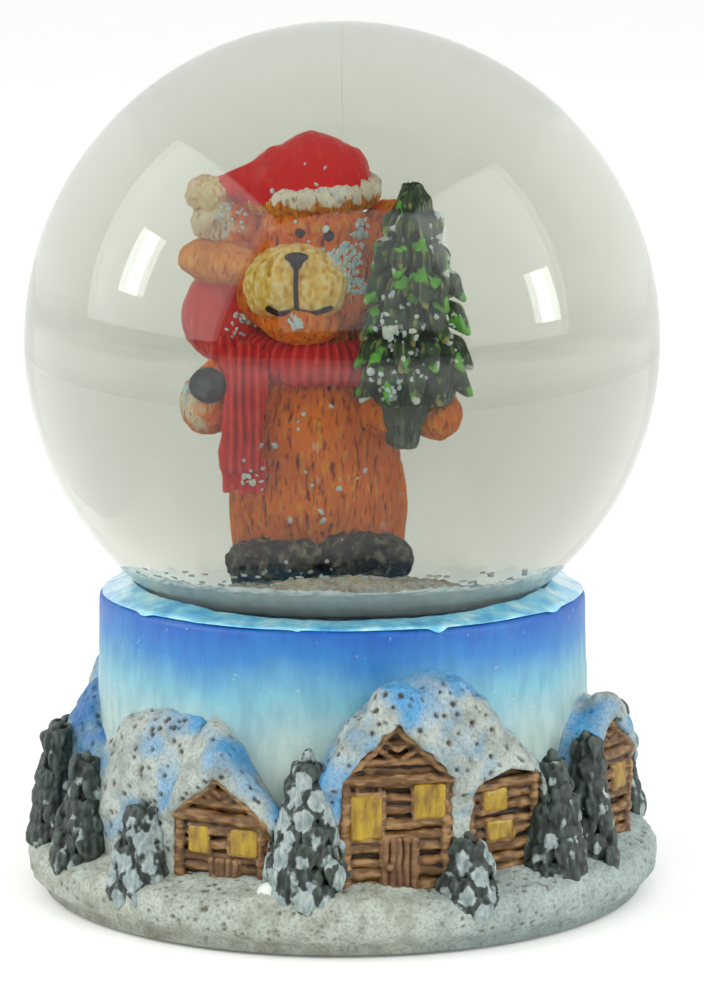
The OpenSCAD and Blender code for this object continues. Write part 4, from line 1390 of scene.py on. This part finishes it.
def tail_field(p):
    sway = 0.35 * np.sin((p[2] - 45) * 0.5)
    q = (p[0] + sway * 0.6, p[1] + 0.12 * (p[2] - 50) * 0.4, p[2])
    knot = forms(p, (0, (-7.6, -4.7, 55.0), (1.9, 1.6, 1.8)),
                 (0.6, (-7.6, -4.4, 55), (-9.0, -3.0, 56), 1.4, 1.3))
    shape = join(slab(q, (-7.85, -5.75, 50.6), (1.65, 0.8, 4.2), 0.6), knot, 0.8)
    for i in range(5):
        at = -9.2 + i * 0.68
        end = (at + 0.1 * math.sin(i * 3), -5.9, 45.1 + 0.25 * math.sin(i * 2))
        shape = join(shape, rod(p, (at, -5.75, 47.2), end, 0.4, 0.3), 0.12)
    return shape


def sack_field(p):
    return forms(p, (0, (-9.1, 0.9, 58.4), (3.3, 2.8, 3.6)), (1.0, (-8.6, -1.0, 57.0), (2.3, 1.8, 2.2)))


def cuff_field(p):
    return forms(p, (0, (-9.1, 0.2, 62.8), (3.6, 2.9, 1.9)), (0.8, (-7.8, -1.9, 62.6), (2.7, 1.6, 1.5)))


def make_hat():
    x = BEAR_X
    red = cloth_paint("hat_enamel", (160, 4, 8), (240, 28, 26), (252, 92, 74))
    cap = cloth("santa_hat_cloth", hat_field, (-11, -5.8, 66.6), (4.4, 5.8, 73.2), lambda p: (
        0.22 * layered(p, (1.5, 2.5, 3.2), 2, 151) + 0.05 * layered(p, (0.4, 0.4, 1.3), 2, 152)), (24, 0.7))
    use(cap, red, "hat_red", "santa_hat")
    band = furry("hat_trim_fur", trim_field, (x - 7, -6.6, 66), (x + 6.2, 6.6, 70.2),
                 (0.3, (0.55, 0.55, 1.1), 161, 0.08), (8, 0.3))
    p = points_of(band)
    paint_mask(band, "tip", 0.62 + 0.75 * (p[:, 2] - 68.2) + 0.5 * layered(p, (0.8, 0.8, 1.4), 2, 163))
    white = fur_paint("hat_trim_paint", (150, 76, 6), (232, 138, 18), (248, 190, 76), (250, 244, 226))
    use(band, white, "trim_white", "hat_fur_trim")
    ball = furry("hat_pompom_fur", lambda p: blob(p, (-10.6, -0.5, 68.1), (1.7, 1.5, 1.5)), (-13, -2.8, 65.8),
                 (-8.2, 1.8, 70.4), (0.3, (0.6, 0.6, 0.9), 167, 0.1), (8, 0.3), 0.12)
    cream = fur_paint("pompom_paint", (206, 150, 66), (244, 222, 160), (252, 244, 220))
    use(ball, cream, "pompom_cream", "hat_pompom")


def make_scarf_and_sack():
    x = BEAR_X
    scarf_red = cloth_paint("scarf_enamel", (132, 2, 4), (218, 16, 18), (238, 80, 68))

    def ribs(p):
        turn = np.arctan2(p[:, 1], p[:, 0] - x)
        return 0.12 * np.sin(turn * 46 + 1.2 * noise(p, 2, 5)) + 0.12 * layered(p, 1.6, 2, 171)

    band = cloth("scarf_band_knit", neck_band_field, (x - 7.2, -7.6, 52.6), (x + 7.2, 7, 58.8), ribs, (10, 0.34))
    use(band, scarf_red, "scarf_red", "scarf_band")
    flap = cloth("scarf_tail_knit", tail_field, (-11.2, -7.6, 44.2), (-5.2, -1, 57.6), lambda p: (
        0.13 * np.sin(p[:, 0] * 9 + 1.5 * noise(p, 2.4, 6)) + 0.1 * layered(p, 1.3, 2, 175)), (10, 0.34), 0.13)
    use(flap, scarf_red, "scarf_red", "scarf_tail")
    bag = cloth("gift_sack_cloth", sack_field, (-13, -3.6, 54), (-5.2, 4.4, 62.4), lambda p: (
        0.2 * layered(p, (1.1, 1.1, 3.4), 2, 181) + 0.05 * noise(p, 0.6, 183)), (20, 0.6))
    sack_red = cloth_paint("sack_enamel", (150, 22, 22), (226, 54, 50), (244, 124, 108))
    use(bag, sack_red, "sack_red", "gift_sack")
    roll = furry("sack_cuff_fur", cuff_field, (-13.4, -4.2, 60), (-4.8, 3.8, 65), (0.14, (0.8, 0.8, 1.4), 187),
                 (9, 0.34))
    peach = fur_paint("cuff_paint", (190, 96, 18), (244, 154, 54), (252, 200, 116))
    use(roll, peach, "cuff_peach", "sack_fur_cuff")


TREE_X, TREE_Y, TREE_TOP = 5.7, -6.0, 69.2
# carried fir: (height of the bough tips, reach, boughs round it)
TREE_TIERS = [
    (52.2, 5.4, 10), (54.6, 5.3, 10), (57.2, 5.1, 10), (59.8, 4.6, 9), (62.3, 3.9, 8), (64.6, 2.8, 7),
    (66.2, 1.5, 5)
]


def tree_boughs():
    """(root, elbow, tip) of each bough: out and down from the trunk, then hooked down."""
    found = []
    for i, (low, reach, count) in enumerate(TREE_TIERS):
        for j in range(count):
            roll = math.sin(i * 12.9 + j * 37.7 + 2) * 43758.5453
            roll -= math.floor(roll)
            a = 2 * math.pi * (j + 0.5 * (i % 2) + 0.4 * (roll - 0.5)) / count + 0.4
            c, s = math.cos(a), math.sin(a)
            out = (reach - 0.5) * (0.84 + 0.2 * roll)
            droop = 0.9 * (roll - 0.5)
            root = (TREE_X + 0.2 * reach * c, TREE_Y + 0.2 * reach * s, low + 3.4)
            elbow = (TREE_X + 0.72 * out * c, TREE_Y + 0.72 * out * s, low + 1.9 + droop)
            tip = (TREE_X + out * c, TREE_Y + out * s, low + 0.45 + droop)
            found.append((root, elbow, tip))
    return found


def tree_field(p):
    shape = rod(p, (TREE_X, TREE_Y, 54.2), (TREE_X + 0.1, TREE_Y, TREE_TOP - 0.8), 3.6, 0.5)
    for root, elbow, tip in tree_boughs():
        bough = np.minimum(rod(p, root, elbow, 0.6, 0.98), rod(p, elbow, tip, 0.98, 0.3))
        shape = join(shape, bough, 0.12)
    return np.maximum(shape, 52.0 - p[2])


def tree_paint():
    paint = Shader("carried_fir_paint", Roughness=0.26, IOR=1.28)
    speck = paint.speck(0.7, 0.4, 4, (1.4, 1.4, 0.5))
    body = paint.ramp(paint.broken(paint.mask("wash"), speck), (0.12, 10, 20, 12), (0.45, 30, 54, 34),
                      (0.74, 52, 82, 48), (0.95, 158, 156, 84))
    bright = paint.step(paint.broken(paint.mask("bright"), speck), 0.5, 0.72)
    body = paint.mix(bright, body, (104, 190, 60))
    frost = paint.step(paint.broken(paint.mask("snow"), speck), 0.5, 0.7)
    body = paint.mix(frost, body, (222, 230, 222))
    return paint.coat(body, (0.7, 0.24, 0.46), 0.06, 0.3, 4, (1.5, 1.5, 0.4))


def make_tree():
    low, high = (TREE_X - 6, TREE_Y - 6, 51), (TREE_X + 6, TREE_Y + 6, 70)
    piece = carve("held_fir_boughs", tree_field, low, high, FINE)
    p = points_of(piece)
    out = np.stack([p[:, 0] - TREE_X, p[:, 1] - TREE_Y], axis=1)
    turn = np.arctan2(out[:, 1], out[:, 0])
    reach = np.linalg.norm(out, axis=1)
    combed = np.stack([np.cos(turn) * 4.2, np.sin(turn) * 4.2, p[:, 2] * 0.22 + reach * 0.12], axis=1)
    swell(piece, 0.17 * np.clip(layered(combed, 0.42, 2, 191), -1, 0.5) + 0.05 * noise(p, 0.5, 192))
    paint_wash(piece, 9, 0.34)
    tips = np.zeros(len(p), dtype=np.float32)
    for _, _, tip in tree_boughs():
        tips = np.maximum(tips, 1.3 - np.sum(((p - np.array(tip)) / 1.2) ** 2, axis=1))
    paint_mask(piece, "bright", tips * 0.6 + 1.1 * layered(p, (1.0, 1.0, 1.8), 2, 193) - 0.2)
    paint_mask(piece, "snow", tips * 0.5 + 1.2 * layered(p, (1.5, 1.5, 0.9), 2, 197) - 0.45)
    use(piece, tree_paint(), "held_fir_green", "held_fir")

    def trunk(p):
        return np.maximum(rod(p, (4.9, -5.9, 49.6), (5.2, -6.0, 53.0), 1.45, 2.2), 48.5 - p[2])

    stem = furry("held_fir_trunk_bark", trunk, (2, -9, 48), (8.2, -2.6, 55.6), (0.18, (0.5, 0.5, 2.0), 201))
    bark = fur_paint("trunk_paint", (40, 52, 46), (84, 102, 92), (124, 138, 124))
    use(stem, bark, "trunk_green", "held_fir_trunk")


# ---- snow inside the ball -----------------------------------------------------------------------


def make_mound():
    def field(p):
        r = np.hypot(p[0], p[1]) / 11.5
        rise = np.maximum(p[2] - STOPPER_Z, 0) / (38.0 - STOPPER_Z)
        shape = ((r ** 4 + rise ** 4) ** 0.25 - 1) * 5
        return np.maximum(shape, STOPPER_Z + 0.05 - p[2])

    piece = carve("snow_mound_lumps", field, (-12.8, -12.8, STOPPER_Z - 0.3), (12.8, 12.8, 39), 0.17)
    p = points_of(piece)
    top = np.clip((p[:, 2] - STOPPER_Z - 0.3) / 1.0, 0, 1)
    crumbs = np.sqrt(dots(p, 0.85, 0.5, 0.95, 211))
    swell(piece, (0.34 * crumbs - 0.15 + 0.2 * noise(p, 2.6, 212)) * top)
    paint_wash(piece, 8, 0.34)
    paint = fur_paint("mound_paint", (196, 170, 130), (240, 230, 204), (252, 248, 236))
    use(piece, paint, "mound_cream", "snow_mound")


def wet_radius(z):
    """Inner radius of the glass at a height."""
    return np.sqrt((BALL_R - GLASS_T) ** 2 - (BALL_Z - z) ** 2)


def make_settled_snow():
    gap = 0.12
    wall = [(wet_radius(z) - gap, z) for z in np.arange(STOPPER_Z + 0.15, BED_Z + 0.05, 0.15)]
    top = resample([wall[-1], (11.0, BED_Z - 0.2)], 0.17)[1:]
    floor = resample([(11.0, STOPPER_Z + 0.1), wall[0]], 0.6)[:-1]
    bed = lathe("settled_snow_bed", np.concatenate([wall, top, floor]), 640)
    p = points_of(bed)
    r = polar(p)[1]
    open_top = np.clip((p[:, 2] - BED_Z + 1.2) / 0.9, 0, 1)
    inner = np.clip((wet_radius(BED_Z) - 0.4 - r) / 0.8, 0, 1)
    fluff = 0.55 * np.sqrt(dots(p, 0.8, 0.46, 0.9, 221)) + 0.3 * layered(p, 1.8, 2, 222) - 0.75
    p[:, 2] += fluff * open_top * (0.7 + 0.3 * inner)
    set_points(bed, p)
    paint_mask(bed, "side", (r - wet_radius(p[:, 2]) + 0.5) / 0.4)
    paint = Shader("settled_flakes", Roughness=0.5, IOR=WET_IOR)
    white = paint.ramp(paint.grain(0.7, 4), (0.3, 222, 226, 222), (0.62, 248, 250, 246))
    # Near the glass the side takes a greyer green tone: painted shade for the side of the bed that lies in
    # shadow.
    grey = paint.ramp(paint.grain(1.2, 4), (0.3, 214, 224, 212), (0.7, 240, 246, 238))
    body = paint.mix(paint.mask("side"), white, grey)
    use(bed, paint.coat(body, (0.6, 0.35, 0.6), 0.1, 0.35, 4), "flake_snow", "settled_snow")


def flake_mesh(name, spots):
    """Thin ragged flakes; each spot is (middle, normal, size)."""
    rng = np.random.default_rng(len(spots) * 13 + len(name))
    sides = 7
    verts, faces = [], []
    for at, normal, size in spots:
        n = np.asarray(normal, dtype=float)
        n /= max(np.linalg.norm(n), 1e-6)
        u = np.cross(n, (0.3, 0.2, 0.93))
        u /= max(np.linalg.norm(u), 1e-6)
        v = np.cross(n, u)
        spin = rng.uniform(0, 2 * math.pi)
        reach = size * rng.uniform(0.6, 1.1, sides)
        squash = rng.uniform(0.5, 0.95)
        thick = 0.09 + 0.05 * rng.uniform()
        base = len(verts)
        for level, scale in ((-thick, 0.75), (0.0, 1.0), (thick, 0.72)):
            for k in range(sides):
                a = 2 * math.pi * k / sides
                du, dv = reach[k] * scale * math.cos(a), reach[k] * scale * squash * math.sin(a)
                ru = math.cos(spin) * du - math.sin(spin) * dv
                rv = math.sin(spin) * du + math.cos(spin) * dv
                verts.append(np.asarray(at) + u * ru + v * rv + n * level)
        verts.append(np.asarray(at) - n * thick)
        verts.append(np.asarray(at) + n * thick)
        for k in range(sides):
            k2 = (k + 1) % sides
            faces.append((base + 3 * sides, base + k2, base + k))
            faces.append((base + 3 * sides + 1, base + 2 * sides + k, base + 2 * sides + k2))
            for low in (base, base + sides):
                faces.append((low + k, low + k2, low + sides + k2))
                faces.append((low + k, low + sides + k2, low + sides + k))
    return make_mesh(name, np.array(verts), np.array(faces))


def flake_paint():
    paint = Shader("flake_plastic", Roughness=0.5, IOR=WET_IOR, Subsurface_Weight=0.7, Subsurface_Scale=0.001)
    body = paint.ramp(paint.grain(0.8, 3), (0.3, 244, 242, 236), (0.7, 254, 253, 250))
    return paint.coat(body, (0.5, 0.4, 0.6), 0.05, 0.4, 3)


def make_loose_flakes(material):
    """Two groups in the ring of water: they keep the CAD groups' ring, rest height and spacing."""
    for node, name, body, start in (("loose_flakes_low", "low_flakes", "stirred_snow", 0.0),
                                    ("loose_flakes_high", "high_flakes", "rising_snow", 6.0)):
        low, high = cad_mm(node)
        rng = np.random.default_rng(5 + len(name))
        outer = high[0] - 0.5
        spots = []
        for i in range(60):
            a = math.radians(start + i * 6 + rng.uniform(-2, 2))
            r = outer - 0.3 - (i % 3) * 1.2 - rng.uniform(0, 0.5)
            z = (low[2] + high[2]) / 2 + rng.uniform(0.0, 0.12)
            tilt = (rng.uniform(-0.15, 0.15), rng.uniform(-0.15, 0.15), 1)
            spots.append(((r * math.cos(a), r * math.sin(a), z), tilt, rng.uniform(0.34, 0.6)))
        piece = flake_mesh(name, spots)
        use(piece, material, "flake_snow", node, body=body)


# where flakes have stuck to the figure: (middle, radius, how many)
STUCK = [
    ((0.6, -5.4, 63.6), 1.7, 90), ((1.6, -5.8, 61.6), 1.2, 34), ((1.4, -3.5, 65.4), 1.3, 34),
    ((4.2, -9.8, 59.2), 2.6, 22), ((5.8, -10.2, 56.2), 2.8, 22), ((3.0, -9.4, 54.2), 2.0, 14),
    ((8.6, -8, 58.5), 2.4, 12), ((-8.0, -2.5, 57.6), 1.4, 26), ((-8.8, -1, 66.2), 1.5, 20),
    ((-3.8, -7.6, 58.8), 0.8, 12), ((-7.4, -6.4, 46.4), 1.4, 10), ((-11.4, -3.6, 52.4), 1.2, 12),
    ((-1.9, -5, 68.2), 4.0, 16), ((-2.0, -7, 47), 5.5, 16), ((7.6, -6.5, 66.0), 1.6, 8),
    ((-2.0, -6.5, 38.5), 5.0, 20),
]


def make_stuck_flakes(material):
    names = ("bear_head_fur", "held_fir_boughs", "gift_sack_cloth", "bear_ears_fur", "bear_muzzle_fur",
             "scarf_tail_knit", "bear_right_arm_fur", "hat_trim_fur", "santa_hat_cloth", "bear_body_fur",
             "snow_mound_lumps", "bear_boots_fur")
    pieces = [bpy.data.objects[n] for n in names]
    points = np.concatenate([points_of(o) for o in pieces])
    normals = np.concatenate([normals_of(o) for o in pieces])
    rng = np.random.default_rng(17)
    spots = []
    for middle, reach, count in STUCK:
        gap = np.linalg.norm(points - np.array(middle), axis=1)
        near = np.where((gap < reach) & (normals[:, 1] < 0.1))[0]
        if len(near) == 0:
            near = np.where(gap < gap.min() + reach)[0]
        weight = np.exp(-(gap[near] / reach) ** 2)
        for i in rng.choice(near, size=min(count, len(near)), replace=False, p=weight / weight.sum()):
            tilt = normals[i] + rng.uniform(-0.45, 0.45, 3)
            spots.append((points[i] + normals[i] * 0.08, tilt, rng.uniform(0.16, 0.42)))
    piece = flake_mesh("stuck_flakes", spots)
    use(piece, material, "flake_snow")


make_stage()
make_globe()
make_collar()
make_ground()
make_glue()
make_hidden_parts()
make_cabins()
make_snow()
make_drift()
make_firs()
make_fur()
make_muzzle()
make_dark_parts()
make_hat()
make_scarf_and_sack()
make_tree()
make_mound()
make_settled_snow()
flakes = flake_paint()
make_loose_flakes(flakes)
make_stuck_flakes(flakes)
